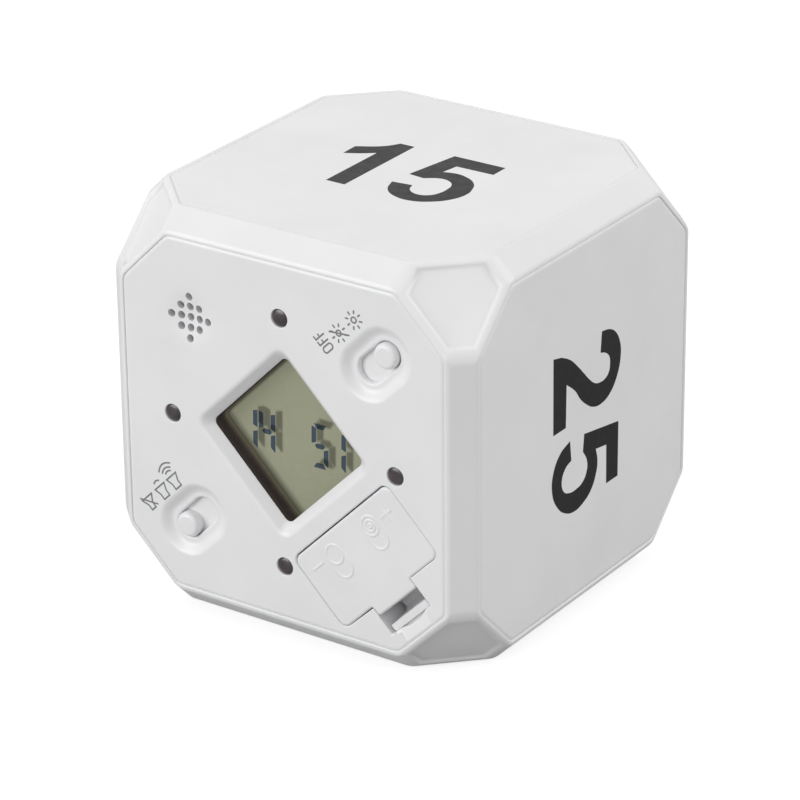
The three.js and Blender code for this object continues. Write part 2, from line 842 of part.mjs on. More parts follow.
function foamSolid() {
  const centre = point(0, sounderPlace);
  const outer = sounderRadius - plateEdgeRound;
  const ring = disc(centre, outer, sounderTop - seatGap, behindPlate, wideRoundSteps);
  return cut(ring, [disc(centre, outer - foamWidth, sounderTop, 0, wideRoundSteps)]);
}

// Battery door: a plate with two hooks, and a folded latch under its tab

function latchProfile() {
  const bend = latchDepth;
  const innerLeg = tabEnd - latchThickness;
  const fold = latchThickness / 2;
  const outerFoot = latchOuter - latchLean;
  const innerFoot = latchInner - latchLean;
  return [
    [innerLeg, doorThickness - seatGap], [tabEnd, doorThickness - seatGap],
    [tabEnd, bend - 2 * fold], [tabEnd + fold, bend - fold], [innerFoot - fold, bend - fold],
    [innerFoot, bend - 2 * fold], [latchInner, latchSink], [latchOuter, latchSink],
    [latchOuter, latchSink + 2 * fold], [outerFoot, bend - fold], [outerFoot - fold, bend + fold],
    [innerLeg + fold, bend + fold], [innerLeg, bend - fold],
  ].map(([v, depth]) => point(-v, -depth));
}

function doorSolid() {
  const ease = doorEdgeRound;
  const tabRounds = [doorRound, doorRound, doorRound, doorRound, tabRound, tabRound, tabRound, tabRound];
  const outline = rounded(doorOutline(0, true), doorRound, tabRounds);
  const easedOutline = rounded(doorOutline(-ease, true), doorRound, tabRounds);
  const plate = loft([
    { outline, z: -doorThickness },
    { outline, z: -ease },
    { outline: easedOutline, z: 0 },
  ]);
  const profile = new THREE.Shape(latchProfile().reverse());
  const latch = new THREE.ExtrudeGeometry(profile, { depth: 2 * latchHalf, bevelEnabled: false });
  latch.translate(0, 0, -latchHalf);
  latch.applyMatrix4(new THREE.Matrix4().makeBasis(axes.back, axes.up, axes.right));
  const hooks = [1, -1].flatMap((side) => {
    const neck = point(side * hookPlace, -doorTop - hookRoot / 2);
    const tongue = point(side * hookPlace, -doorTop + (hookReach - hookRoot) / 2);
    const deep = behindPlate + hookThickness;
    return [
      bar(neck, hookHalf, hookRoot / 2, deep, doorThickness / 2),
      bar(tongue, hookHalf, (hookReach + hookRoot) / 2, deep, behindPlate),
    ];
  });
  return joined([plate, solidOf(latch), ...hooks]);
}

// Cells and their contacts

class ConicalCoil extends THREE.Curve {
  constructor(centre, baseDepth, direction) {
    super();
    Object.assign(this, { centre, baseDepth, direction });
  }

  getPoint(share) {
    const angle = share * springTurns * fullTurn;
    const radius = springRadius + share * (springTipRadius - springRadius);
    const depth = this.baseDepth + this.direction * share * (springLength - springWire);
    const u = this.centre.x + radius * Math.cos(angle);
    return new THREE.Vector3(u, this.centre.y + radius * Math.sin(angle), -depth);
  }
}

function tube(curve, radius, sides, steps) {
  const section = new THREE.Shape(circle(radius, sides));
  return solidOf(new THREE.ExtrudeGeometry(section, { extrudePath: curve, steps, bevelEnabled: false }));
}

function springSolid(centre, baseDepth, direction) {
  const coil = new ConicalCoil(centre, baseDepth, direction);
  return tube(coil, springWire, springSides, Math.round(springTurns * stepsPerTurn));
}

function dimple(centre, face, direction) {
  const tip = face + direction * nubHeight;
  const root = face - direction * contactThickness / 2;
  const profile = [[0, tip], [dimpleTip, tip], [dimpleRadius, root], [0, root]];
  return turned(direction > 0 ? profile : profile.reverse(), smallRoundSteps, centre);
}

const negativeCell = point(-cellPitch / 2, -cellPlace);
const positiveCell = point(cellPitch / 2, -cellPlace);

function doorContactSolid() {
  const centre = point(0, -cellPlace);
  const reach = cellPitch / 2 + contactHalfWidth;
  return joined([
    bar(centre, reach, contactHalfWidth, contactFace, contactDepth),
    springSolid(negativeCell, contactFace, 1),
    dimple(positiveCell, contactFace, 1),
  ]);
}

function terminalSolid(centre, contact) {
  const tabEndDepth = tubeEnd + solderTabReach;
  const plateBack = terminalFace + contactThickness;
  return joined([
    bar(centre, contactHalfWidth, contactHalfWidth, plateBack, terminalFace),
    bar(centre, solderTabHalf, contactThickness / 2, tabEndDepth, terminalFace),
    contact,
  ]);
}

function cellSolid(centre, flatDepth, direction) {
  const at = (distance) => flatDepth + direction * distance;
  const shoulder = cellLength - nubHeight;
  const profile = [
    [0, at(0)], [cellRadius - cellEdgeRound, at(0)], [cellRadius, at(cellEdgeRound)],
    [cellRadius, at(shoulder - cellEdgeRound)], [cellRadius - cellEdgeRound, at(shoulder)],
    [nubRadius, at(shoulder)], [nubRadius, at(cellLength)], [0, at(cellLength)],
  ];
  return turned(direction > 0 ? profile.reverse() : profile, roundSteps, centre);
}

function tubeSolid() {
  const centre = point(0, -cellPlace);
  const outline = stadium(cellPitch / 2, tubeRadius, centre);
  const ears = tubeScrews.map((screw) => {
    const side = Math.sign(screw.x);
    const web = point(side * (cellPitch / 2 + earPlace) / 2, -cellPlace);
    const webHalf = (earPlace - cellPitch / 2) / 2;
    return [disc(screw, bossRadius, earDepth + earThickness, earDepth, smallRoundSteps),
      bar(web, webHalf, bossRadius, earDepth + earThickness, earDepth)];
  }).flat();
  const hookDepth = Math.hypot(behindPlate + hookThickness, hookReach) + seatGap;
  const contactSide = cellPitch / 2 + contactHalfWidth + seatGap;
  const hookSide = hookPlace + hookHalf + seatGap;
  const slots = [negativeCell, positiveCell].map((place) => bar(
    place,
    solderTabHalf + seatGap,
    contactThickness / 2 + seatGap,
    tubeEnd + overrun,
    tubeFloor - overrun,
  ));
  const bores = [negativeCell, positiveCell].map((place) => {
    return disc(place, boreRadius, tubeFloor, 0, wideRoundSteps);
  });
  const holes = tubeScrews.map((screw) => disc(screw, shankHole, boardDepth, 0, smallRoundSteps));
  return cut(joined([slab(outline, tubeEnd, behindPlate), ...ears]), [
    ...bores,
    ...holes,
    ...slots,
    box(-hookSide, -doorTop - hookRoot - hookReach, hookSide, 0, hookDepth + seatGap, 0),
    bar(centre, contactSide, contactHalfWidth + seatGap, contactFace + seatGap, 0),
  ]);
}

function wireSolid(place) {
  const top = -cellPlace + tubeRadius + wireRadius + 2 * seatGap;
  const rise = top + cellPlace;
  const route = [
    [-cellPlace, wireStart], [-cellPlace, wireStart + wireRadius],
    [-cellPlace + rise / 6, wireFar - wireRadius], [-cellPlace + rise / 2, wireFar],
    [top - wireBend / 2, wireFar - wireBend / 4], [top, wireFar - wireBend],
    [top, (wireFar + boardBack) / 2], [top, boardBack + wireBend], [top, boardBack],
  ].map(([v, depth]) => new THREE.Vector3(place.x, v, -depth));
  const curve = new THREE.CatmullRomCurve3(route, false, 'centripetal');
  return tube(curve, wireRadius, wireSides, wireSteps);
}

// Screws, head towards the back

function screwSolid(place, headDepth) {
  const head = turned([
    [0, headDepth + screwHeadHeight], [screwCrownRadius, headDepth + screwHeadHeight],
    [screwHeadRadius, headDepth + screwHeadHeight / 2], [screwHeadRadius, headDepth],
    [shankRadius, headDepth], [shankRadius, headDepth - screwLength + shankRadius],
    [0, headDepth - screwLength],
  ], smallRoundSteps, place);
  const deep = headDepth + screwHeadHeight + overrun;
  const recessFloor = headDepth + screwHeadHeight - recessDepth;
  return cut(head, [
    bar(place, recessHalf, recessWidth / 2, deep, recessFloor),
    bar(place, recessWidth / 2, recessHalf, deep, recessFloor),
  ]);
}

// Finishes

function finish(color, roughness, metalness = 0) {
  return new THREE.MeshStandardMaterial({ color, roughness, metalness });
}

function clearFinish(color, roughness, opacity) {
  return new THREE.MeshStandardMaterial({ color, roughness, opacity, transparent: true });
}

const finishes = {
  housing: () => finish(0xe9e9ea, 0.32),
  innerPlastic: () => finish(0xd8d8d6, 0.5),
  blackFoam: () => finish(0x1d1c1b, 0.9),
  clear: () => clearFinish(0xffffff, 0.05, 0.2),
  display: () => finish(0x92937c, 0.35),
  rubber: () => finish(0x3a3a3c, 0.7),
  board: () => finish(0x1f5a35, 0.45),
  blackPlastic: () => finish(0x1a1a1b, 0.4),
  lamp: () => finish(0x4b3a3a, 0.15),
  steel: () => finish(0xb9bbbe, 0.3, 1),
  cellSleeve: () => finish(0x2f5f8c, 0.35, 0.2),
  redWire: () => finish(0xa32020, 0.5),
  blackWire: () => finish(0x202020, 0.5),
};

// Assembly

const timer = new THREE.Group();
timer.name = 'cube_timer';
timer.position.z = half;

function addPiece(group, name, solid, finishName) {
  const mesh = new THREE.Mesh(geometryOf(solid), finishes[finishName]());
  mesh.name = name;
  group.add(mesh);
}

function faceGroup(face) {
  const group = new THREE.Group();
  group.applyMatrix4(faceMatrix(face));
  timer.add(group);
  return group;
}

const cage = cageSolid();
addPiece(timer, 'cage_front', cageHalf(cage, -1), 'housing');
addPiece(timer, 'cage_rear', cageHalf(cage, 1), 'housing');
for (const name of ['top', 'right', 'left', 'bottom', 'rear']) {
  addPiece(faceGroup(faces[name]), `${name}_plate`, plateSolid(), 'housing');
}

const control = new THREE.Group();
control.rotation.z = quarterTurn / 2;
faceGroup(faces.front).add(control);

addPiece(control, 'control_panel', panelSolid(), 'housing');
addPiece(control, 'display_gasket', gasketSolid(), 'blackFoam');
addPiece(control, 'display_window', lensSolid(), 'clear');
addPiece(control, 'display_cell', displayCellSolid(), 'display');
addPiece(control, 'display_holder', displayHolderSolid(), 'innerPlastic');
addPiece(control, 'display_connector', connectorSolid(), 'rubber');
addPiece(control, 'circuit_board', boardSolid(), 'board');
addPiece(control, 'controller_chip', chipSolid(), 'blackPlastic');
addPiece(control, 'tilt_sensor', sensorSolid(), 'blackPlastic');
addPiece(control, 'clock_crystal', crystalSolid(), 'steel');
for (const [name, place] of Object.entries(lamps)) {
  addPiece(control, `${name}_lamp`, lampSolid(place), 'lamp');
}
for (const [name, side] of Object.entries(switchSides)) {
  addPiece(control, `${name}_switch_knob`, knobSolid(side), 'housing');
  addPiece(control, `${name}_switch_lever`, leverSolid(side), 'blackPlastic');
  addPiece(control, `${name}_switch_can`, canSolid(side), 'steel');
}
addPiece(control, 'sounder', sounderSolid(), 'blackPlastic');
addPiece(control, 'sounder_foam', foamSolid(), 'blackFoam');
addPiece(control, 'battery_door', doorSolid(), 'housing');
addPiece(control, 'door_contact', doorContactSolid(), 'steel');
addPiece(control, 'battery_tube', tubeSolid(), 'innerPlastic');

const flatAtDoor = contactFace + springLength + seatGap;
const flatInside = terminalFace - springLength - seatGap;
addPiece(control, 'cell_flat_end_out', cellSolid(negativeCell, flatAtDoor, 1), 'cellSleeve');
addPiece(control, 'cell_nub_end_out', cellSolid(positiveCell, flatInside, -1), 'cellSleeve');
const nubTerminal = dimple(negativeCell, terminalFace, -1);
const springTerminal = springSolid(positiveCell, terminalFace, -1);
addPiece(control, 'positive_terminal', terminalSolid(negativeCell, nubTerminal), 'steel');
addPiece(control, 'negative_terminal', terminalSolid(positiveCell, springTerminal), 'steel');
addPiece(control, 'positive_wire', wireSolid(negativeCell), 'redWire');
addPiece(control, 'negative_wire', wireSolid(positiveCell), 'blackWire');
boardScrews.forEach((place, i) => {
  addPiece(control, `board_screw_${i + 1}`, screwSolid(place, boardBack), 'steel');
});
tubeScrews.forEach((place, i) => {
  addPiece(control, `tube_screw_${i + 1}`, screwSolid(place, boardDepth), 'steel');
});

export default timer;
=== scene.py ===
import math
from types import SimpleNamespace

import bmesh
import bpy
from mathutils import Matrix, Vector


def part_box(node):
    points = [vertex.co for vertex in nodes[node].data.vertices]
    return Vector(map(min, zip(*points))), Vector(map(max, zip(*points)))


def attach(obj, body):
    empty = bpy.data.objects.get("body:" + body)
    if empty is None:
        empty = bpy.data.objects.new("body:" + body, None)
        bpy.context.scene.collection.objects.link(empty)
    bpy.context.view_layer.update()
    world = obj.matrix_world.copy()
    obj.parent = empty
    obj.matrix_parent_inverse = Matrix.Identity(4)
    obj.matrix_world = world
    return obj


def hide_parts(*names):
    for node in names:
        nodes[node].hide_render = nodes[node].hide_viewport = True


# A white cube timer: a chamfered cage with six octagonal plates, one of them the control panel.
# Shapes are laid out in millimetres on their face of the cube and end in metres in the frame.

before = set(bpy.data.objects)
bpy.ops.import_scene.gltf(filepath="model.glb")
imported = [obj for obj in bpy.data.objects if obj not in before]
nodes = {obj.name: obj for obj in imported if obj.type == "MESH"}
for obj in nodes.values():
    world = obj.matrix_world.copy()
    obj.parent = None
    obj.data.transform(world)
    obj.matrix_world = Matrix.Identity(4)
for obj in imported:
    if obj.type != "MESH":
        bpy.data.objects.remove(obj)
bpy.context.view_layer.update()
mm = 0.001
root2 = math.sqrt(2)
quarter = math.pi / 2


def spanOf(node, axis):
    low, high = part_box(node)
    return (high[axis] - low[axis]) / mm


half = spanOf("cage_front", 0) / 2
plateHalf = spanOf("top_plate", 0) / 2
right, back, up = Vector((1, 0, 0)), Vector((0, 1, 0)), Vector((0, 0, 1))
inCube = Matrix.Translation(up * half * mm) @ Matrix.Scale(mm, 4)
faces = {  # across, upwards, outwards
    "front": (right, up, -back),
    "top": (right, back, up),
    "right": (-up, back, right),
    "left": (up, back, -right),
    "bottom": (-right, back, -up),
    "rear": (-right, up, back),
}


def faceTurn(name):
    across, upwards, outwards = faces[name]
    turn = Matrix((across, upwards, outwards)).transposed().to_4x4()
    return Matrix.Translation(outwards * half) @ turn


def faceMatrix(name):
    return inCube @ faceTurn(name)


# The panel's own frame runs along the face's diagonals
panelMatrix = faceMatrix("front") @ Matrix.Rotation(quarter / 2, 4, "Z")


# Outlines

def arc(x, y, radius, start, sweep, steps):
    turns = [start + sweep * i / steps for i in range(steps + 1)]
    return [(x + radius * math.cos(t), y + radius * math.sin(t)) for t in turns]


def circle(radius, steps, x=0, y=0):
    return arc(x, y, radius, 0, 4 * quarter, steps)[:-1]


def stadium(straight, radius, x=0, y=0, steps=24):
    rightEnd = arc(x + straight, y, radius, -quarter, 2 * quarter, steps)
    return rightEnd + arc(x - straight, y, radius, quarter, 2 * quarter, steps)


def rectangle(long, wide, x=0, y=0):
    return [(x + long, y - wide), (x + long, y + wide), (x - long, y + wide), (x - long, y - wide)]


def rounded(corners, radii, steps=8):
    outline = []
    for i, corner in enumerate(corners):
        at = Vector(corner)
        before = (Vector(corners[i - 1]) - at).normalized()
        after = (Vector(corners[(i + 1) % len(corners)]) - at).normalized()
        radius = radii[i] if isinstance(radii, (list, tuple)) else radii
        angle = before.angle(after) / 2
        middle = at + (before + after).normalized() * radius / math.sin(angle)
        start = at + before * radius / math.tan(angle) - middle
        turn = (2 * quarter - 2 * angle) * (1 if after.cross(before) > 0 else -1)
        outline += arc(middle.x, middle.y, radius, math.atan2(start.y, start.x), turn, steps)
    return outline


def square(side, radius, steps=8):
    return rounded(rectangle(side, side), radius, steps)


def octagonCorners(side, cut):
    reach = side - cut
    return [(side, -reach), (side, reach), (reach, side), (-reach, side),
            (-side, reach), (-side, -reach), (-reach, -side), (reach, -side)]


def octagon(inset, steps=8):
    side = plateHalf - inset
    cut = cage["cornerCut"] - inset * (2 - root2)
    return rounded(octagonCorners(side, cut), cage["cornerRound"] - inset, steps)


def turnedOutline(outline, angle):
    c, s = math.cos(angle), math.sin(angle)
    return [(x * c - y * s, x * s + y * c) for x, y in outline]


# Meshes

def ring(outline, depth):
    return [Vector((x, y, -depth)) for x, y in outline]


def bridge(bm, rings):
    # four-sided faces from each ring of corners to the next
    for low, high in zip(rings, rings[1:]):
        for i in range(len(low)):
            j = (i + 1) % len(low)
            bm.faces.new((low[i], low[j], high[j], high[i]))


def loft(bm, rings, closed=False):
    made = [[bm.verts.new(point) for point in outline] for outline in rings]
    bridge(bm, made + made[:1] if closed else made)
    if not closed:
        bm.faces.new(reversed(made[0]))
        bm.faces.new(made[-1])


def prism(bm, outline, deep, shallow):
    loft(bm, [ring(outline, deep), ring(outline, shallow)])


def block(bm, left, low, far, high, deep, shallow):
    prism(bm, [(left, low), (far, low), (far, high), (left, high)], deep, shallow)


def brick(bm, x, y, long, wide, deep, shallow):
    # a block about a middle, from its half sizes
    block(bm, x - long, y - wide, x + long, y + wide, deep, shallow)


def turned(bm, profile, steps, x=0, y=0, leastRadius=0.02):
    # radius and depth pairs, deepest first; a tip stays as wide as the least radius
    loft(bm, [ring(circle(max(radius, leastRadius), steps, x, y), depth) for radius, depth in profile])


def easeProfile(width, steps):
    # inset and depth of a quarter round, from the wall up to the flat
    turns = [quarter * i / steps for i in range(steps + 1)]
    return [(width * (1 - math.cos(t)), width * (1 - math.sin(t))) for t in turns]


def swell(share):
    # a soft slope from 1 down to 0
    return (1 + math.cos(share * 2 * quarter)) / 2


def strip(bm, points, width, section, closed=False, mitreLimit=0.3):
    # a thin line laid along points on the face; section is (share of half width, height) pairs
    places = [Vector(p) for p in points]
    count = len(places)
    rings = []
    for i, at in enumerate(places):
        ahead = places[(i + 1) % count] if closed or i < count - 1 else None
        behind = places[i - 1] if closed or i > 0 else None
        ways = [at - behind] if behind else []
        ways += [ahead - at] if ahead else []
        ways = [w.normalized() for w in ways if w]
        way = sum(ways, Vector((0, 0))).normalized()
        side = Vector((way.y, -way.x))
        reach = width / 2 / max(mitreLimit, side.dot(Vector((ways[0].y, -ways[0].x))))
        rings.append([Vector((*(at + side * share * reach), height)) for share, height in section])
    loft(bm, rings, closed)


def addObject(name, data):
    made = bpy.data.objects.new(name, data)
    bpy.context.scene.collection.objects.link(made)
    return made


def makeObject(name, bm, matrix, *materials):
    bmesh.ops.transform(bm, matrix=matrix, verts=bm.verts)
    bmesh.ops.recalc_face_normals(bm, faces=bm.faces)
    mesh = bpy.data.meshes.new(name)
    bm.to_mesh(mesh)
    bm.free()
    for material in materials:
        mesh.materials.append(material)
    return addObject(name, mesh)


def settle(obj):
    # modifiers become the mesh
    graph = bpy.context.evaluated_depsgraph_get()
    mesh = bpy.data.meshes.new_from_object(obj.evaluated_get(graph), depsgraph=graph)
    obj.modifiers.clear()
    obj.data = mesh
    return obj


def smooth(obj, angle=32):
    obj.data.shade_smooth()
    obj.data.set_sharp_from_angle(angle=math.radians(angle))
    normals = obj.modifiers.new("flat faces stay flat", "WEIGHTED_NORMAL")
    normals.keep_sharp = True
    normals.weight = 100
    return settle(obj)


def combine(obj, others, operation):
    for i, other in enumerate(others):
        modifier = obj.modifiers.new(f"{operation} {i}", "BOOLEAN")
        modifier.operation = operation
        modifier.solver = "MANIFOLD"
        modifier.object = other
    settle(obj)
    for other in others:
        bpy.data.objects.remove(other)
    return obj


def join(obj, other):
    # the other's faces are added as they are
    bm = bmesh.new()
    bm.from_mesh(obj.data)
    bm.from_mesh(other.data)
    bm.to_mesh(obj.data)
    bm.free()
    bpy.data.objects.remove(other)
    return obj


def rideOn(obj, body, slot, *replaced):
    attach(obj, body)
    if replaced:
        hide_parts(*replaced)
    return obj


# Geometry Nodes

def addNode(tree, kind, inputs=None, **settings):
    node = tree.nodes.new(kind)
    for key, value in settings.items():
        setattr(node, key, value)
    for key, value in (inputs or {}).items():
        if isinstance(value, bpy.types.NodeSocket):
            tree.links.new(value, node.inputs[key])
        else:
            node.inputs[key].default_value = value
    return node


def startTree(name, inputs):
    # every tree takes a mesh and named inputs, and gives a mesh
    tree = bpy.data.node_groups.new(name, "GeometryNodeTree")
    tree.interface.new_socket("Geometry", in_out="INPUT", socket_type="NodeSocketGeometry")
    for label, kind in inputs.items():
        tree.interface.new_socket(label, in_out="INPUT", socket_type="NodeSocket" + kind)
    tree.interface.new_socket("Geometry", in_out="OUTPUT", socket_type="NodeSocketGeometry")
    return tree, addNode(tree, "NodeGroupInput").outputs


def endTree(tree, geometry, material):
    real = addNode(tree, "GeometryNodeRealizeInstances", {"Geometry": geometry})
    finished = addNode(tree, "GeometryNodeSetMaterial", {
        "Geometry": real.outputs[0], "Material": material})
    addNode(tree, "NodeGroupOutput", {0: finished.outputs[0]})
    return tree


def grow(obj, tree, values):
    modifier = obj.modifiers.new(tree.name, "NODES")
    modifier.node_group = tree
    for item in tree.interface.items_tree:
        if item.in_out == "INPUT" and item.name in values:
            modifier[item.identifier] = values[item.name]
    return settle(obj)


def pointsObject(name, places):
    mesh = bpy.data.meshes.new(name)
    mesh.from_pydata([(x, y, -depth) for x, y, depth in places], [], [])
    return addObject(name, mesh)


def scatterTree():
    # one part set down on every point of the mesh
    tree, given = startTree("parts at points", {"Part": "Object", "Material": "Material"})
    part = addNode(tree, "GeometryNodeObjectInfo", {"Object": given["Part"]})
    placed = addNode(tree, "GeometryNodeInstanceOnPoints", {
        "Points": given["Geometry"], "Instance": part.outputs["Geometry"]})
    return endTree(tree, placed.outputs[0], given["Material"])


def holesTree():
    # round holes on a square grid whose corners are left off, cut into the mesh
    tree, given = startTree("holes on a grid", {
        "Pitch": "Float", "Rings": "Int", "Radius": "Float", "Length": "Float", "Place": "Vector",
        "Turn": "Vector", "Material": "Material"})
    reach = addNode(tree, "ShaderNodeMath", {0: given["Pitch"], 1: given["Rings"]}, operation="MULTIPLY")
    size = addNode(tree, "ShaderNodeMath", {0: reach.outputs[0], 1: 2.0}, operation="MULTIPLY")
    count = addNode(tree, "ShaderNodeMath", {0: given["Rings"], 1: 2.0, 2: 1.0}, operation="MULTIPLY_ADD")
    grid = addNode(tree, "GeometryNodeMeshGrid", {
        "Size X": size.outputs[0], "Size Y": size.outputs[0],
        "Vertices X": count.outputs[0], "Vertices Y": count.outputs[0]})
    where = addNode(tree, "GeometryNodeInputPosition")
    positive = addNode(tree, "ShaderNodeVectorMath", {0: where.outputs[0]}, operation="ABSOLUTE")
    total = addNode(tree, "ShaderNodeVectorMath", {
        0: positive.outputs[0], 1: (1, 1, 0)}, operation="DOT_PRODUCT")
    # a tenth of the pitch is added, so that rounding leaves out no hole on the edge
    limit = addNode(tree, "ShaderNodeMath", {
        0: given["Pitch"], 1: 0.1, 2: reach.outputs[0]}, operation="MULTIPLY_ADD")
    inside = addNode(tree, "FunctionNodeCompare", {
        0: total.outputs["Value"], 1: limit.outputs[0]}, data_type="FLOAT", operation="LESS_THAN")
    drill = addNode(tree, "GeometryNodeMeshCylinder", {
        "Vertices": 40, "Radius": given["Radius"], "Depth": given["Length"]})
    drills = addNode(tree, "GeometryNodeInstanceOnPoints", {
        "Points": grid.outputs["Mesh"], "Selection": inside.outputs[0], "Instance": drill.outputs["Mesh"]})
    real = addNode(tree, "GeometryNodeRealizeInstances", {"Geometry": drills.outputs[0]})
    placed = addNode(tree, "GeometryNodeTransform", {
        "Geometry": real.outputs[0], "Translation": given["Place"], "Rotation": given["Turn"]})
    pierced = addNode(tree, "GeometryNodeMeshBoolean", {
        "Mesh 1": given["Geometry"], "Mesh 2": placed.outputs[0]}, operation="DIFFERENCE", solver="MANIFOLD")
    return endTree(tree, pierced.outputs["Mesh"], given["Material"])


def coilTree():
    # a conical wire spring standing on its wide end, with part of a turn flat at each end
    tree, given = startTree("conical coil", {
        "Turns": "Float", "Flat Share": "Float", "Foot Radius": "Float", "Tip Radius": "Float",
        "Height": "Float", "Wire Radius": "Float", "Material": "Material"})
    spiral = addNode(tree, "GeometryNodeCurveSpiral", {
        "Resolution": 28, "Rotations": given["Turns"], "Start Radius": given["Foot Radius"],
        "End Radius": given["Tip Radius"], "Height": 0.0})
    along = addNode(tree, "GeometryNodeSplineParameter")
    lastShare = addNode(tree, "ShaderNodeMath", {0: 1.0, 1: given["Flat Share"]}, operation="SUBTRACT")
    rise = addNode(tree, "ShaderNodeMapRange", {
        "Value": along.outputs["Factor"], "From Min": given["Flat Share"], "From Max": lastShare.outputs[0],
        "To Min": 0.0, "To Max": given["Height"]})
    lift = addNode(tree, "ShaderNodeCombineXYZ", {"Z": rise.outputs["Result"]})
    risen = addNode(tree, "GeometryNodeSetPosition", {
        "Geometry": spiral.outputs[0], "Offset": lift.outputs[0]})
    section = addNode(tree, "GeometryNodeCurvePrimitiveCircle", {
        "Resolution": 10, "Radius": given["Wire Radius"]})
    wire = addNode(tree, "GeometryNodeCurveToMesh", {
        "Curve": risen.outputs[0], "Profile Curve": section.outputs[0], "Fill Caps": True})
    return endTree(tree, wire.outputs[0], given["Material"])


def raysTree():
    # short bars pointing outwards round a circle
    tree, given = startTree("rays round a lamp sign", {
        "Count": "Int", "Radius": "Float", "Length": "Float", "Width": "Float", "Thickness": "Float",
        "Material": "Material"})
    rim = addNode(tree, "GeometryNodeMeshCircle", {"Vertices": given["Count"], "Radius": given["Radius"]})
    size = addNode(tree, "ShaderNodeCombineXYZ", {
        "X": given["Length"], "Y": given["Width"], "Z": given["Thickness"]})
    bar = addNode(tree, "GeometryNodeMeshCube", {"Size": size.outputs[0]})
    where = addNode(tree, "GeometryNodeInputPosition")
    way = addNode(tree, "FunctionNodeAlignRotationToVector", {"Vector": where.outputs[0]}, axis="X")
    placed = addNode(tree, "GeometryNodeInstanceOnPoints", {
        "Points": rim.outputs[0], "Instance": bar.outputs["Mesh"], "Rotation": way.outputs[0]})
    whole = addNode(tree, "GeometryNodeJoinGeometry")
    tree.links.new(placed.outputs[0], whole.inputs[0])
    tree.links.new(given["Geometry"], whole.inputs[0])
    return endTree(tree, whole.outputs[0], given["Material"])


scatter, holes, coil, rays = scatterTree(), holesTree(), coilTree(), raysTree()


# Materials, each named for what the real one is. Pattern sizes are in millimetres.

def linear(hexColour):
    channels = [int(hexColour[i:i + 2], 16) / 255 for i in (1, 3, 5)]
    return [c / 12.92 if c <= 0.04045 else ((c + 0.055) / 1.055) ** 2.4 for c in channels] + [1.0]


def emptyTree(owner):
    owner.use_nodes = True
    owner.node_tree.nodes.clear()
    return owner.node_tree


noiseSpan = {"From Min": 0.3, "From Max": 0.7}  # nearly all values of a noise lie between these


def surface(name, look):
    # cloudy colour between two shades, uneven sheen between two roughnesses, and a fine grain
    material = bpy.data.materials.new(name)
    tree = emptyTree(material)
    sockets = {"IOR": 1.5, "Coat Roughness": 0.1, **look.get("sockets", {})}
    shader = addNode(tree, "ShaderNodeBsdfPrincipled", sockets)
    addNode(tree, "ShaderNodeOutputMaterial", {"Surface": shader.outputs["BSDF"]})
    where = addNode(tree, "ShaderNodeTexCoord").outputs["Object"]
    place = addNode(tree, "ShaderNodeMapping", {"Vector": where, "Scale": look.get("stretch", (1, 1, 1))})
    noises = {}
    for part in ("cloud", "flow", "grain"):
        noises[part] = addNode(tree, "ShaderNodeTexNoise", {
            "Vector": place.outputs["Vector"], "Scale": 1 / (look[part] * mm), "Detail": 3.0}).outputs["Fac"]
    blend = addNode(tree, "ShaderNodeMapRange", {**noiseSpan, "Value": noises["cloud"]})
    colour = addNode(tree, "ShaderNodeMix", {
        0: blend.outputs["Result"], 6: linear(look["pale"]), 7: linear(look["deep"])}, data_type="RGBA")
    sheen = addNode(tree, "ShaderNodeMapRange", {
        **noiseSpan, "Value": noises["flow"], "To Min": look["shiny"], "To Max": look["dull"]})
    relief = addNode(tree, "ShaderNodeBump", {
        "Height": noises["grain"], "Distance": look["grainDepth"] * mm, "Strength": 0.5})
    for socket, value in (("Base Color", colour.outputs[2]), ("Roughness", sheen.outputs["Result"]),
                          ("Normal", relief.outputs["Normal"])):
        tree.links.new(value, shader.inputs[socket])
    return SimpleNamespace(
        material=material, tree=tree, shader=shader, where=where, colour=colour, relief=relief)


def paintedGlow(made, shades, strength):
    # the mixed colour is both the surface's own and a painted glow that it gives off, though the surface is
    # no lamp
    made.shader.inputs["Emission Strength"].default_value = strength
    for socket in ("Base Color", "Emission Color"):
        made.tree.links.new(shades.outputs[2], made.shader.inputs[socket])
    return made.material


# injection-moulded ABS from a fine satin tool: an even cool white with a soft, slightly uneven sheen
whiteAbs = surface("moulded white ABS", {
    "pale": "#eaeaeb", "deep": "#e5e5e6", "cloud": 14, "flow": 3.2, "shiny": 0.30, "dull": 0.40,
    "grain": 0.22, "grainDepth": 0.003, "sockets": {"IOR": 1.53}}).material

# pad-printed ink: thin and almost black, with the faint mottle that the silicone pad leaves
numeralInk = surface("black pad-printing ink", {
    "pale": "#1d1b1b", "deep": "#232121", "cloud": 0.6, "flow": 1.5, "shiny": 0.42, "dull": 0.52,
    "grain": 0.15, "grainDepth": 0.002, "sockets": {"Specular IOR Level": 0.25}}).material
signInk = surface("grey pad-printing ink", {
    "pale": "#747475", "deep": "#7e7e7f", "cloud": 0.5, "flow": 1.5, "shiny": 0.38, "dull": 0.5,
    "grain": 0.15, "grainDepth": 0.002}).material

# smoked epoxy of a diode lamp: nearly black, reddish where the light gets in
smokedEpoxy = surface("smoked lamp epoxy", {
    "pale": "#352e30", "deep": "#4b4244", "cloud": 1.1, "flow": 0.8, "shiny": 0.22, "dull": 0.34,
    "grain": 0.4, "grainDepth": 0.002, "sockets": {"IOR": 1.55, "Coat Weight": 0.25}}).material

# bright nickel on rolled bronze strip: fine lines along the strip, a few dull patches
nickel = surface("nickel-plated bronze strip", {
    "pale": "#cfcdc8", "deep": "#b9b6b0", "cloud": 2.5, "flow": 1.3, "shiny": 0.18, "dull": 0.34,
    "grain": 0.3, "grainDepth": 0.004, "stretch": (1, 1, 8), "sockets": {"Metallic": 1.0}}).material
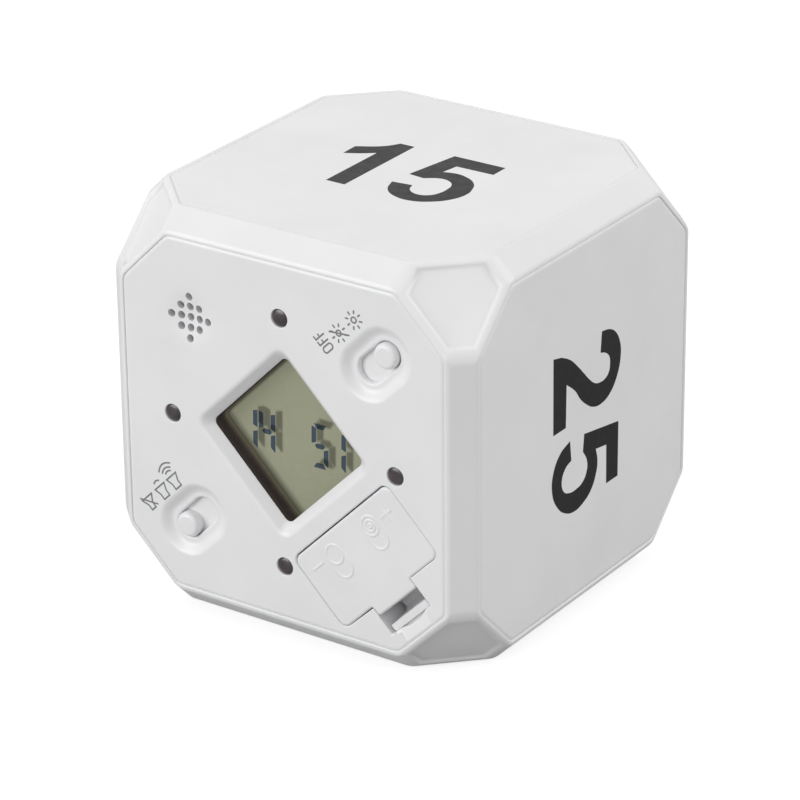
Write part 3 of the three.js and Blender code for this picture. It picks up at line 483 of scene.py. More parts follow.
# zinc on cold-headed steel: bluish and softly blurred
zincSteel = surface("zinc-plated steel", {
    "pale": "#b9bbbd", "deep": "#a3a5a8", "cloud": 1.0, "flow": 0.8, "shiny": 0.26, "dull": 0.42,
    "grain": 0.2, "grainDepth": 0.004, "sockets": {"Metallic": 1.0}}).material
tinnedCan = surface("tinned steel sheet", {
    "pale": "#c2c3c4", "deep": "#adaeb0", "cloud": 2.2, "flow": 1.0, "shiny": 0.28, "dull": 0.45,
    "grain": 0.25, "grainDepth": 0.003, "sockets": {"Metallic": 1.0}}).material

# plain tool finish on parts that stay inside
naturalAbs = surface("natural moulded ABS", {
    "pale": "#dcdcd9", "deep": "#d2d2ce", "cloud": 6, "flow": 2, "shiny": 0.42, "dull": 0.56,
    "grain": 0.3, "grainDepth": 0.01, "sockets": {"IOR": 1.53}}).material
blackNylon = surface("black moulded nylon", {
    "pale": "#1b1b1c", "deep": "#262627", "cloud": 1.5, "flow": 1, "shiny": 0.4, "dull": 0.58,
    "grain": 0.25, "grainDepth": 0.008}).material
siliconeRubber = surface("conductive silicone rubber", {
    "pale": "#3b3b3e", "deep": "#2f2f32", "cloud": 0.8, "flow": 1, "shiny": 0.55, "dull": 0.72,
    "grain": 0.2, "grainDepth": 0.01, "sockets": {"IOR": 1.41}}).material
# extruded PVC insulation: smooth, a little waxy
redPvc = surface("red PVC insulation", {
    "pale": "#a82420", "deep": "#971d1a", "cloud": 1.2, "flow": 1.5, "shiny": 0.34, "dull": 0.5,
    "grain": 0.2, "grainDepth": 0.004, "sockets": {"IOR": 1.54}}).material
blackPvc = surface("black PVC insulation", {
    "pale": "#202021", "deep": "#19191a", "cloud": 1.2, "flow": 1.5, "shiny": 0.34, "dull": 0.5,
    "grain": 0.2, "grainDepth": 0.004, "sockets": {"IOR": 1.54}}).material
# shrunk PVC film over the cell's steel can: glossy, with the can's sheen through it
cellSleeve = surface("shrunk PVC cell sleeve", {
    "pale": "#2d5f8c", "deep": "#27567f", "cloud": 5, "flow": 2, "shiny": 0.2, "dull": 0.3,
    "grain": 0.5, "grainDepth": 0.003, "sockets": {"IOR": 1.54, "Coat Weight": 0.4}}).material

# cast acrylic sheet: hardly more than its reflection
clearAcrylic = surface("clear acrylic sheet", {
    "pale": "#2c2e2e", "deep": "#262828", "cloud": 6, "flow": 4, "shiny": 0.02, "dull": 0.06,
    "grain": 3, "grainDepth": 0.0001, "sockets": {"IOR": 1.49, "Alpha": 0.05}}).material


def evaFoam():
    # closed-cell EVA: near black, no shine, with burst cells of a third of a millimetre
    made = surface("closed-cell EVA foam", {
        "pale": "#14120f", "deep": "#25211d", "cloud": 0.6, "flow": 1, "shiny": 0.75, "dull": 0.95,
        "grain": 0.3, "grainDepth": 0.02})
    cells = addNode(made.tree, "ShaderNodeTexVoronoi", {"Vector": made.where, "Scale": 1 / (0.33 * mm)})
    pits = addNode(made.tree, "ShaderNodeBump", {
        "Height": cells.outputs["Distance"], "Distance": 0.05 * mm, "Strength": 0.6,
        "Normal": made.relief.outputs["Normal"]})
    made.tree.links.new(pits.outputs["Normal"], made.shader.inputs["Normal"])
    return made.material


def displaySurround():
    # black foam with painted light from the display: its colour turns paler towards its foot, and the whole
    # surround is given a painted glow
    paintedFrom, paintedTo = 3.3, 4.7  # depths behind the face
    made = surface("foam beside the display with painted light and glow", {
        "pale": "#2e2826", "deep": "#282220", "cloud": 2, "flow": 1, "shiny": 0.8, "dull": 0.95,
        "grain": 0.25, "grainDepth": 0.006, "sockets": {"Specular IOR Level": 0.2}})
    axes = addNode(made.tree, "ShaderNodeSeparateXYZ", {"Vector": made.where})
    foot = addNode(made.tree, "ShaderNodeMapRange", {
        "Value": axes.outputs["Y"], "From Min": (paintedFrom - half) * mm, "From Max": (paintedTo - half) * mm},
        interpolation_type="SMOOTHSTEP")
    # painted light: the foam's colour is mixed towards pale olive near its foot
    paintedLight = addNode(made.tree, "ShaderNodeMix", {
        0: foot.outputs["Result"], 6: made.colour.outputs[2], 7: linear("#535040")}, data_type="RGBA")
    # painted glow, though the foam is no lamp
    return paintedGlow(made, paintedLight, 1.0)


def displayGlass():
    # reflective twisted-nematic cell: olive grey, with painted shadows of the driven segments and painted
    # shade along two edges of the window, both read from the shade attribute
    made = surface("reflective display cell with painted shade and glow", {
        "pale": "#707160", "deep": "#6e6f5e", "cloud": 9, "flow": 5, "shiny": 0.22, "dull": 0.32,
        "grain": 0.12, "grainDepth": 0.001, "sockets": {"IOR": 1.52, "Specular IOR Level": 0.15}})
    # painted shade: the colour goes towards near black where the shade attribute is high
    shade = addNode(made.tree, "ShaderNodeAttribute", attribute_name="shade")
    shaded = addNode(made.tree, "ShaderNodeMix", {
        0: shade.outputs["Fac"], 6: made.colour.outputs[2], 7: linear("#15130f")}, data_type="RGBA")
    # a painted glow stands in for the reflector behind the cell, which throws light back more evenly than
    # matt paint
    return paintedGlow(made, shaded, 1.25)


def segmentFilm():
    # a driven segment passes a little blue light and stops the rest, so the painted shadow beneath still
    # shows through it
    made = surface("driven liquid crystal", {
        "pale": "#3a4a57", "deep": "#34434f", "cloud": 1.2, "flow": 3, "shiny": 0.25, "dull": 0.35,
        "grain": 0.3, "grainDepth": 0.001})
    film = addNode(made.tree, "ShaderNodeBsdfTransparent", {"Color": linear("#8e9fc5")})
    output = next(node for node in made.tree.nodes if node.type == "OUTPUT_MATERIAL")
    both = addNode(made.tree, "ShaderNodeMixShader", {
        0: 0.04, 1: film.outputs[0], 2: made.shader.outputs[0]})
    made.tree.links.new(both.outputs[0], output.inputs["Surface"])
    return made.material


def boardLaminate():
    # solder mask over woven glass; the threads are drawn a millimetre apart, coarser than real ones
    made = surface("solder mask on glass laminate", {
        "pale": "#1d5632", "deep": "#25613b", "cloud": 4, "flow": 1, "shiny": 0.3, "dull": 0.45,
        "grain": 0.4, "grainDepth": 0.004, "sockets": {"IOR": 1.55}})
    bandScale = 1 / (3.15 * mm)  # a wave texture repeats after 0.314 of this length
    waves = [addNode(made.tree, "ShaderNodeTexWave", {
        "Vector": made.where, "Scale": bandScale}, bands_direction=way).outputs["Fac"] for way in ("X", "Z")]
    weave = addNode(made.tree, "ShaderNodeMath", {0: waves[0], 1: waves[1]}, operation="MULTIPLY")
    threads = addNode(made.tree, "ShaderNodeBump", {
        "Height": weave.outputs[0], "Distance": 0.01 * mm, "Strength": 0.5,
        "Normal": made.relief.outputs["Normal"]})
    made.tree.links.new(threads.outputs["Normal"], made.shader.inputs["Normal"])
    return made.material


foam, surround, display = evaFoam(), displaySurround(), displayGlass()
segmentDye, laminate = segmentFilm(), boardLaminate()
print("materials done")


# Cage: rims, seats and ledges on six faces, chamfered edges and sunk corner facets in one shell

cage = {
    "chamfer": 3.05, "cornerCut": 7.95, "cornerRound": 1.8, "facetSum": 80.6,
    "seat": -0.35, "seatDepth": 2.1, "ledge": 1.2, "wallDepth": 4.0, "cornerWall": 3.5,
    "longBorder": 0.8, "shortBorder": 1.5, "recessDepth": 0.5, "recessSlope": 0.6,
    "rimEdge": 0.42, "facetEdge": 1.15, "seatEdge": 0.2, "recessEdge": 0.24, "edgeSteps": 6, "rimBand": 0.3,
}
# a face ends at its chamfers and, along them, at the corner facets; the hollow inside has that form too
flatEnd = half - cage["chamfer"]
flatHalf = cage["facetSum"] - half - flatEnd
cavity = half - cage["wallDepth"]
cavityFlat = cage["facetSum"] - cage["cornerWall"] * math.sqrt(3) - 2 * cavity


def collar(bm, corners, inner):
    # flat faces between an octagon and the rounded outline inside it
    count = len(inner)
    per = count // 8
    for i in range(8):
        first, last = i * per + per // 2, (i + 1) * per + per // 2
        back = [inner[k % count] for k in range(last, first - 1, -1)]
        bm.faces.new([corners[i], corners[(i + 1) % 8]] + back)


def cageFace(bm, turn):
    seat, mouth = octagon(cage["seat"]), octagon(cage["ledge"])
    layers = ((seat, 0), (seat, cage["seatDepth"]), (mouth, cage["seatDepth"]), (mouth, cage["wallDepth"]))
    rings = [[bm.verts.new(turn @ p) for p in ring(outline, depth)] for outline, depth in layers]
    bridge(bm, rings)
    for side, reach, depth, inner in ((flatEnd, flatHalf, 0, rings[0]),
                                      (cavity, cavityFlat, cage["wallDepth"], rings[-1])):
        corners = [bm.verts.new(turn @ p) for p in ring(octagonCorners(side, side - reach), depth)]
        collar(bm, corners, inner)


def facetHexagon(signs, low, middle, high, sunk=0.0):
    order = [(low, middle, high), (middle, low, high), (high, low, middle),
             (high, middle, low), (middle, high, low), (low, high, middle)]
    inward = -Vector(signs).normalized()
    return [Vector(c * s for c, s in zip(corner, signs)) + inward * sunk for corner in order]


def cageCorner(bm, signs):
    step = math.sqrt(1.5)
    hexagons = [facetHexagon(signs, flatHalf, flatEnd, half)]
    for inset, sunk in ((0, 0), (cage["recessSlope"], cage["recessDepth"])):
        high = half - (cage["longBorder"] + inset) / step
        low = flatHalf + (cage["shortBorder"] + inset) / step
        hexagons.append(facetHexagon(signs, low, cage["facetSum"] - low - high, high, sunk))
    rings = [[bm.verts.new(p) for p in hexagon] for hexagon in hexagons]
    bridge(bm, rings)
    bm.faces.new(rings[-1])
    inner = [(cavity, cavity, cavityFlat), (cavityFlat, cavity, cavity), (cavity, cavityFlat, cavity)]
    bm.faces.new([bm.verts.new(Vector(c * s for c, s in zip(p, signs))) for p in inner])


def near(a, b):
    return abs(a - b) < 1e-3


def edgeWidth(edge):
    # how wide an edge of the shell is rounded, 0 where it stays sharp
    sizes = [sorted(abs(c) for c in v.co) for v in edge.verts]
    outer = [near(s[2], half) and near(s[1], flatEnd) and near(s[0], flatHalf) for s in sizes]
    if all(outer):
        onRim = any(near(abs(a), half) and near(a, b) for a, b in zip(*(v.co for v in edge.verts)))
        return cage["rimEdge"] if onRim else cage["facetEdge"]
    if any(outer):
        return 0.0
    if all(near(s[2], half) and s[1] < flatEnd - cage["rimBand"] for s in sizes):
        return cage["seatEdge"]
    return cage["recessEdge"] if all(near(sum(s), cage["facetSum"]) for s in sizes) else 0.0


def makeCage():
    bm = bmesh.new()
    for name in faces:
        cageFace(bm, faceTurn(name))
    bothWays = (1, -1)
    for signs in [(x, y, z) for x in bothWays for y in bothWays for z in bothWays]:
        cageCorner(bm, signs)
    chamfer = ((flatHalf, half, flatEnd), (-flatHalf, half, flatEnd),
               (-flatHalf, flatEnd, half), (flatHalf, flatEnd, half))
    for axis, first, second in [(a, f, s) for a in range(3) for f in bothWays for s in bothWays]:
        corners = []
        for along, out, over in chamfer:
            place = [0.0, 0.0, 0.0]
            place[axis], place[axis - 2], place[axis - 1] = along, out * first, over * second
            corners.append(bm.verts.new(place))
        bm.faces.new(corners)
    bmesh.ops.remove_doubles(bm, verts=bm.verts, dist=1e-3)
    weight = bm.edges.layers.float.new("bevel_weight_edge")
    for edge in bm.edges:
        edge[weight] = edgeWidth(edge) / cage["facetEdge"]
    obj = makeObject("cageShell", bm, inCube, whiteAbs)
    bevel = obj.modifiers.new("moulded edges", "BEVEL")
    bevel.limit_method = "WEIGHT"
    bevel.width = cage["facetEdge"] * mm
    bevel.segments = cage["edgeSteps"]
    settle(obj)
    return rideOn(smooth(obj, 50), "case", "housing", "cage_front", "cage_rear")


makeCage()
print("cage done")


# Face plates: soft-edged octagons with four snap clips behind

plate = {
    "grow": 0.345, "thickness": 1.8, "edge": 0.6, "edgeTilt": 40, "edgeSteps": 6,
    "clipHalf": 2.5, "clipShift": 15, "clipThickness": 1.2, "clipGap": 0.3, "clipEnd": 5.3,
    "hook": 0.5, "hookTop": 4.3,
}


def plateBody(bm, turn=0):
    # the rim of a plate falls away in an arc and meets the cage at a slant
    tilt = math.radians(plate["edgeTilt"])
    radius = plate["edge"] / math.sin(tilt)
    turns = [tilt * (1 - i / plate["edgeSteps"]) for i in range(plate["edgeSteps"] + 1)]
    layers = [(0, plate["thickness"])]
    layers += [(plate["edge"] - radius * math.sin(t), radius * (1 - math.cos(t))) for t in turns]
    loft(bm, [ring(turnedOutline(octagon(inset - plate["grow"]), turn), depth) for inset, depth in layers])


def clipObjects(matrix, turn=0):
    made = []
    outside = plateHalf - cage["ledge"] - plate["clipGap"]
    inside = outside - plate["clipThickness"]
    top, end, hook = plate["hookTop"], plate["clipEnd"], plate["hook"]
    profile = [(inside, end), (outside, end), (outside + hook, top + hook), (outside + hook, top),
               (outside, top), (outside, plate["thickness"] / 2), (inside, plate["thickness"] / 2)]
    for side in range(4):
        bm = bmesh.new()
        rings = [[Vector((x, y, -depth)) for x, depth in profile]
                 for y in (plate["clipShift"] - plate["clipHalf"], plate["clipShift"] + plate["clipHalf"])]
        loft(bm, rings)
        made.append(makeObject("clip", bm, matrix @ Matrix.Rotation(side * quarter + turn, 4, "Z"), whiteAbs))
    return made


def makePlate(face):
    bm = bmesh.new()
    plateBody(bm)
    matrix = faceMatrix(face)
    obj = makeObject(face + "Plate", bm, matrix, whiteAbs)
    combine(obj, clipObjects(matrix), "UNION")
    return rideOn(smooth(obj), "case", "housing", face + "_plate")


for face in ("top", "right", "left", "bottom", "rear"):
    makePlate(face)
print("plates done")


# Control panel: a plate with its window, switch dishes, lamp holes, sounder holes and battery opening.
# It is shaped in millimetres on the panel's own axes and moved to its place when finished.

toPanel = panelMatrix.inverted()
unmoved = Matrix.Identity(4)


def panelPlace(node):
    low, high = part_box(node)
    place = toPanel @ ((low + high) / 2)
    return place.x, place.y


def depthOf(node, end):
    # depth behind the panel's face of a node's front (0) or back (1)
    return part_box(node)[end].y / mm + half


def onPanel(name, bm, material=whiteAbs):
    return makeObject(name, bm, unmoved, material)


def toFace(obj):
    obj.data.transform(panelMatrix)
    return obj


def solid(name, shape, *values, material=whiteAbs):
    bm = bmesh.new()
    shape(bm, *values)
    return onPanel(name, bm, material)


lampNodes = ["top_lamp", "right_lamp", "bottom_lamp", "left_lamp"]
screwNodes = [f"board_screw_{i}" for i in (1, 2, 3, 4)] + ["tube_screw_1", "tube_screw_2"]
lampPlaces = [panelPlace(node) for node in lampNodes]
switchPlaces = {"lamp": panelPlace("lamp_switch_can"), "sound": panelPlace("sound_switch_can")}
sounderPlace = panelPlace("sounder")

panel = {
    "through": 2.2, "above": -1.0, "bossRadius": 1.9, "bossInPlate": 1.5,
    "bossShort": {"board": 3.4, "tube": 3.3}, "bossHole": [(1.15, 12), (1.15, 2.1)],
    "window": [(9.4, 2.4), (9.4, 1.5), (9.46, 1.38), (9.6, 1.22), (10.5, 0.36), (10.72, 0.17), (10.98, 0.05),
               (11.3, 0.0), (11.3, -1.0)],  # half side and depth
    "windowRounds": (1.0, 2.0), "gasketSeat": 11.5, "gasketRound": 1.2, "gasketTop": 1.45,
    "travel": 2.0, "dishRim": 4.9, "dishFloor": 2.85, "dishDepth": 0.95, "dishSteps": 12,
    "slot": [(2.1, 2.4), (2.1, 1.6), (2.12, 1.36), (2.18, 1.17), (2.27, 1.05), (2.39, 0.98), (2.54, 0.945),
             (2.54, 0.6)],
    "railHalf": 6.4, "railPlace": 3.6, "railWidth": 1.0, "railDepth": 3.1,
    "lampHole": [(1.41, 2.4), (1.41, 0.16), (1.44, 0.06), (1.51, 0.01), (1.57, 0.0), (1.57, -1.0)],
    "grillePitch": 1.64, "grilleRings": 2, "grilleHole": 0.6, "grilleDrill": 6.0,
    "grilleDish": 4.9, "grilleDepth": 0.45, "grilleSteps": 16,
}
opening = {
    "half": 11.7, "top": -13.7, "bottom": -26.5, "round": 1.4,
    "edge": [(0, 2.4), (0, 0.32), (0.03, 0.18), (0.1, 0.07), (0.22, 0.0), (0.22, -1.0)],
    "slotHalf": 4.65, "slotEnd": -31.34, "slotRound": 0.25, "gapAtLatch": 0.14,
    "wellWall": 0.6, "wellTop": -26.8, "wellDepth": 6.4,
    "pocketHalf": 3.1, "pocketEnd": -31.75, "pocketBulge": 0.6, "pocketTop": -30.8, "pocketReach": 0.5,
    "pocket": [(0, 1.15), (0.06, 0.95), (0.16, 0.76), (0.3, 0.6), (0.48, 0.46), (0.7, 0.35), (0.9, 0.28),
               (0.9, -1.0)],
    "scoopSides": (-3.2, 4.7), "scoopEdges": (0.3, 2.6), "scoopSteps": (8, 12), "scoopAbove": 1.0,
    "scoopEnds": ((-31.0, 0.58), (-33.45, 0.02)),  # place and depth
}


def windowCutter(bm):
    first, last = panel["windowRounds"]
    inner, outer = panel["window"][0][0], panel["window"][-1][0]
    rings = []
    for side, depth in panel["window"]:
        share = (side - inner) / (outer - inner)
        rings.append(ring(square(side, first + (last - first) * share, 10), depth))
    loft(bm, rings)


def dishCutter(bm, x, y):
    rings = []
    for i in range(panel["dishSteps"] + 1):
        share = i / panel["dishSteps"]
        radius = panel["dishFloor"] + share * (panel["dishRim"] - panel["dishFloor"])
        rings.append(ring(stadium(panel["travel"], radius, x, y), panel["dishDepth"] * swell(share)))
    rings.append(ring(stadium(panel["travel"], panel["dishRim"], x, y), panel["above"]))
    loft(bm, rings)


def slotCutter(bm, x, y):
    loft(bm, [ring(stadium(panel["travel"], radius, x, y), depth) for radius, depth in panel["slot"]])


def grilleDishCutter(bm, x, y):
    rim, steps = panel["grilleDish"], panel["grilleSteps"]
    profile = [(rim * i / steps, panel["grilleDepth"] * swell(i / steps)) for i in range(steps + 1)]
    turned(bm, profile + [(rim, panel["above"])], 64, x, y)


def bulged(side, end, bulge, steps=16):
    # points of a shallow arc that bulges outwards by so much past its two ends
    radius = (side ** 2 + bulge ** 2) / (2 * bulge)
    sweep = 2 * math.asin(side / radius)
    return arc(0, end + radius, radius, -quarter - sweep / 2, sweep, steps)


def openingOutline(grown):
    side, top, bottom = opening["half"] + grown, opening["top"] + grown, opening["bottom"] - grown
    slot, own, small = opening["slotHalf"] + grown, opening["round"] + grown, opening["slotRound"]
    end = opening["slotEnd"] - grown
    corners = [(-slot, end), (slot, end), (slot, bottom), (side, bottom), (side, top), (-side, top),
               (-side, bottom), (-slot, bottom - opening["gapAtLatch"])]
    return rounded(corners, [small, small, small - grown] + [own] * 4 + [small - grown], 6)


def openingCutter(bm):
    loft(bm, [ring(openingOutline(grown), depth) for grown, depth in opening["edge"]])


def pocketCutter(bm):
    # the soft crescent past the latch
    rings, top = [], opening["pocketTop"]
    for grown, depth in opening["pocket"]:
        side, end = opening["pocketHalf"] + grown, opening["pocketEnd"] - grown * opening["pocketReach"]
        rings.append(ring(bulged(side, end, opening["pocketBulge"]) + [(side, top), (-side, top)], depth))
    loft(bm, rings)


def scoopCutter(bm):
    # a shallow trough, deepest beside the latch: a crease on its left, a long fade on its right
    (left, far), (crease, fade) = opening["scoopSides"], opening["scoopEdges"]
    (nearSteps, farSteps), above = opening["scoopSteps"], opening["scoopAbove"]
    rings = []
    for y, deep in opening["scoopEnds"]:
        section = [(left, above)]
        for i in range(nearSteps + 1):
            section.append((left + crease * i / nearSteps, -deep * swell(1 - i / nearSteps)))
        for i in range(farSteps + 1):
            section.append((far - fade * (1 - i / farSteps), -deep * swell(i / farSteps)))
        rings.append([Vector((x, y, z)) for x, z in section + [(far, above)]])
    loft(bm, rings)


def makePanel():
    bm = bmesh.new()
    plateBody(bm, -quarter / 2)
    obj = onPanel("controlPanel", bm)
    inPlate = panel["bossInPlate"]
    added = clipObjects(unmoved, -quarter / 2)
    for node in screwNodes:
        end = depthOf(node, 1) - panel["bossShort"][node.split("_")[0]]
        boss = [(panel["bossRadius"], end), (panel["bossRadius"], inPlate)]
        added.append(solid("boss", turned, boss, 32, *panelPlace(node)))
    for x, y in switchPlaces.values():
        for side in (1, -1):
            low = y + side * panel["railPlace"] - panel["railWidth"] / 2
            added.append(solid("rail", block, x - panel["railHalf"], low, x + panel["railHalf"],
                               low + panel["railWidth"], panel["railDepth"], inPlate))
    for side in (1, -1):
        left, far = sorted((side * opening["slotHalf"], side * (opening["slotHalf"] + opening["wellWall"])))
        added.append(solid("well", block, left, opening["slotEnd"] - opening["wellWall"], far,
                           opening["wellTop"], opening["wellDepth"], inPlate))
    combine(obj, added, "UNION")
    seat = square(panel["gasketSeat"], panel["gasketRound"])
    cutters = [
        solid("cut", windowCutter),
        solid("cut", prism, seat, panel["through"], panel["gasketTop"]),
        solid("cut", grilleDishCutter, *sounderPlace),
        solid("cut", openingCutter), solid("cut", scoopCutter), solid("cut", pocketCutter),
    ]
    for place in switchPlaces.values():
        cutters += [solid("cut", dishCutter, *place), solid("cut", slotCutter, *place)]
    cutters += [solid("cut", turned, panel["lampHole"], 48, *place) for place in lampPlaces]
    cutters += [solid("cut", turned, panel["bossHole"], 24, *panelPlace(node)) for node in screwNodes]
    combine(obj, cutters, "DIFFERENCE")
    grow(obj, holes, {
        "Pitch": panel["grillePitch"], "Rings": panel["grilleRings"], "Radius": panel["grilleHole"],
        "Length": panel["grilleDrill"], "Place": (*sounderPlace, 0.0), "Turn": (0.0, 0.0, quarter / 2),
        "Material": whiteAbs})
    return rideOn(smooth(toFace(obj)), "case", "housing", "control_panel")


makePanel()
print("panel done")


# Display: foam frame, clear window and a reflective cell with the segments' shadows painted on the reflector
# behind them

readout = {
    "gasket": [(11.2, 4.48), (11.2, 1.75), (9.5, 1.75), (9.5, 2.15), (10.2, 2.15), (10.2, 3.35), (9.5, 3.35),
               (9.5, 4.48)],
    "round": 1.0, "cell": 11.6, "front": 4.5, "glass": 1.1, "ledge": 2.4, "cells": 116,
    "digits": {-9.12: "1", -5.94: "4", 3.5: "5", 6.6: "1"}, "lean": 0.02, "middle": -1.2,
    "column": 1.08, "rise": 3.12, "width": 0.8, "gap": 0.24, "barRound": 0.07, "sunk": 0.05, "proud": 0.02,
    "tips": {"middle": 0.4, "footOut": 0.35, "footIn": 0.6, "headOut": 0.2, "headIn": 0.1},  # in widths
    "crossGaps": (1.6, 0.4), "middleReach": 0.04, "middleTip": 0.2,
    # painted shadows of the segments and painted shade at the window's rim, both laid on the display cell
    "shadowShift": (1.12, 0.72), "shadowBlur": 0.4, "shadowShare": 0.6,
    "rimShade": 0.77, "rimWidths": (1.45, 0.45),
}
lit = {"1": "bc", "4": "bcfg", "5": "acdfg"}


def segmentShapes():
    # seven-segment outlines in the face's own axes, one polygon a segment
    w, c, r, gap = readout["width"], readout["column"], readout["rise"], readout["gap"]
    tip = {key: share * w for key, share in readout["tips"].items()}
    outer, inner = c + w / 2, c - w / 2
    shapes = {}
    for letter, side, low, high in (("b", 1, 0, 1), ("c", 1, -1, 0), ("f", -1, 0, 1)):
        foot, head = low * r + gap, high * r - gap
        footOut, footIn = foot - tip["footOut"], foot + tip["footIn"]
        headOut, headIn = head + tip["headOut"], head - tip["headIn"]
        if low == 0:
            footOut, footIn = foot, foot + tip["middle"]
        if high == 0:
            headOut, headIn = head, head - tip["middle"]
        bar = ((outer, footOut), (outer, headOut), (inner, headIn), (inner, footIn))
        shapes[letter] = [(side * x, y) for x, y in bar]
    long, short = outer - gap * readout["crossGaps"][0], inner - gap * readout["crossGaps"][1]
    for letter, level in (("a", r), ("d", -r)):
        out = math.copysign(w / 2, level)
        outside, inside = level + out, level - out
        shapes[letter] = [(-long, outside), (long, outside), (short, inside), (-short, inside)]
    g, t, h = inner + readout["middleReach"], readout["middleTip"], w / 2
    shapes["g"] = [(-g - t, 0), (-g + t, -h), (g - t, -h), (g + t, 0), (g - t, h), (-g + t, h)]
    return shapes


def litShapes():
    shapes = segmentShapes()
    for place, digit in readout["digits"].items():
        for letter in lit[digit]:
            yield [(place + x + readout["lean"] * y, readout["middle"] + y) for x, y in shapes[letter]]


def distanceTo(polygon, x, y):
    # distance outside a polygon, zero within
    best, inside = 1e9, False
    for (x1, y1), (x2, y2) in zip(polygon, polygon[1:] + polygon[:1]):
        dx, dy = x2 - x1, y2 - y1
        t = max(0.0, min(1.0, ((x - x1) * dx + (y - y1) * dy) / (dx * dx + dy * dy)))
        best = min(best, math.hypot(x - x1 - t * dx, y - y1 - t * dy))
        if (y1 > y) != (y2 > y) and x < x1 + (y - y1) / (y2 - y1) * dx:
            inside = not inside
    return 0.0 if inside else best


def makeDisplayCell():
    side, front, glass = readout["cell"], readout["front"], readout["glass"]
    count = readout["cells"]
    bm = bmesh.new()
    bmesh.ops.create_grid(bm, x_segments=count, y_segments=count, size=side)
    bmesh.ops.translate(bm, verts=bm.verts, vec=(0, 0, -front))
    rim = [e for e in bm.edges if e.is_boundary]
    deep = bmesh.ops.extrude_edge_only(bm, edges=rim)["geom"]
    bmesh.ops.translate(bm, verts=[g for g in deep if isinstance(g, bmesh.types.BMVert)], vec=(0, 0, -glass))
    bmesh.ops.holes_fill(bm, edges=[e for e in bm.edges if e.is_boundary], sides=0)
    block(bm, -side, -side, side, side - readout["ledge"], front + 2 * glass, front + glass)
    acrossBy, upBy = readout["shadowShift"]
    polygons = [[(x + acrossBy, y + upBy) for x, y in shape] for shape in litShapes()]
    boxes = [[pick(point[axis] for point in polygon) for axis in (0, 1) for pick in (min, max)]
             for polygon in polygons]
    obj = onPanel("displayCell", bm, display)
    # the shade attribute is painted shade: blurred shadows of the lit segments, shifted across the reflector,
    # and darkening along two edges of the window
    shade = obj.data.attributes.new("shade", "FLOAT", "POINT")
    blur, window = readout["shadowBlur"], panel["window"][0][0]
    for i, vertex in enumerate(obj.data.vertices):
        u, v = vertex.co.x, vertex.co.y
        x, y = (u - v) / root2, (u + v) / root2
        value = 0.0
        for polygon, (left, far, low, high) in zip(polygons, boxes):
            if left - blur < x < far + blur and low - blur < y < high + blur:
                value = max(value, 1 - distanceTo(polygon, x, y) / blur)
        cast = readout["shadowShare"] * value * value * (3 - 2 * value)
        light = 1 - cast
        # painted shade along the window's edges, where the wall would shade the cell
        for inside, width in zip((u, -v), readout["rimWidths"]):
            atRim = min(1.0, max(0.0, 1 - (inside + window) / width))
            light *= 1 - readout["rimShade"] * atRim
        shade.data[i].value = 1 - light
    return rideOn(toFace(obj), "case", "display_glass", "display_cell")


def makeSegments():
    bm = bmesh.new()
    deep, shallow = readout["front"] + readout["sunk"], readout["front"] - readout["proud"]
    for polygon in litShapes():
        prism(bm, rounded(polygon, readout["barRound"], 3), deep, shallow)
    obj = makeObject("displaySegments", bm, faceMatrix("front"), segmentDye)
    return rideOn(obj, "case", "display_glass")


def makeGasket():
    bm = bmesh.new()
    loft(bm, [ring(square(side, readout["round"]), depth) for side, depth in readout["gasket"]], closed=True)
    obj = onPanel("displayGasket", bm, surround)
    return rideOn(smooth(toFace(obj)), "case", "black_foam", "display_gasket")


makeGasket()
makeDisplayCell()
makeSegments()
print("display done")


# Lamps: smoked domes just below the face, with their two pins

lamp = {
    "radius": 1.36, "sink": 0.02, "dome": 0.36, "length": 4.9, "steps": 10,
    "pin": 0.5, "pinLap": 0.1, "spread": 1.27,
}


def makeLampBodies():
    bm = bmesh.new()
    base, shoulder = lamp["sink"] + lamp["length"], lamp["sink"] + lamp["dome"]
    turns = [quarter * (1 - i / lamp["steps"]) for i in range(lamp["steps"] + 1)]
    dome = [(lamp["radius"] * math.sin(t), shoulder - lamp["dome"] * math.cos(t)) for t in turns]
    turned(bm, [(lamp["radius"], base)] + dome, 40)
    pin = lamp["pin"] / 2
    for side in (1, -1):
        brick(bm, side * lamp["spread"] / 2, 0, pin, pin, depthOf("top_lamp", 1), base - lamp["pinLap"])
    part = onPanel("oneLamp", bm, smokedEpoxy)
    places = pointsObject("lamps", [(x, y, 0) for x, y in lampPlaces])
    obj = grow(places, scatter, {"Part": part, "Material": smokedEpoxy})
    bpy.data.objects.remove(part)
    return rideOn(smooth(toFace(obj)), "case", "lamp_resin", *lampNodes)


makeLampBodies()


# Slide switches: a round knob on a slider plate that closes the slot from behind

knob = {
    "radius": 1.97, "round": 0.72, "sink": 0.1, "plateHalf": 6.4, "plateSide": 2.8, "plateFront": 1.85,
    "plateBack": 2.9, "bossHalf": 2.2, "bossSide": 1.6, "bossBack": 4.9, "bossLap": 0.2, "pocket": 1.05,
    "pocketBack": 6,
}


def makeKnob(side):
    x, y = panelPlace(side + "_switch_lever")
    ease = [(knob["radius"] - inset, knob["sink"] + depth) for inset, depth in easeProfile(knob["round"], 6)]
    back, pocket = knob["plateBack"], knob["pocket"]
    obj = solid(side + "SwitchKnob", turned, [(knob["radius"], back)] + ease, 64, x, y)
    combine(obj, [
        solid("slider", brick, x, y, knob["plateHalf"], knob["plateSide"], back, knob["plateFront"]),
        solid("boss", brick, x, y, knob["bossHalf"], knob["bossSide"],
              knob["bossBack"], back - knob["bossLap"]),
    ], "UNION")
    combine(obj, [solid("pocket", brick, x, y, pocket, pocket, knob["pocketBack"], back)], "DIFFERENCE")
    return rideOn(smooth(toFace(obj)), side + "_switch", "housing", side + "_switch_knob")


makeKnob("lamp")
makeKnob("sound")
print("lamps and switches done")


# Battery door: a plate with a tab, a folded snap latch, two hooks and raised cell marks

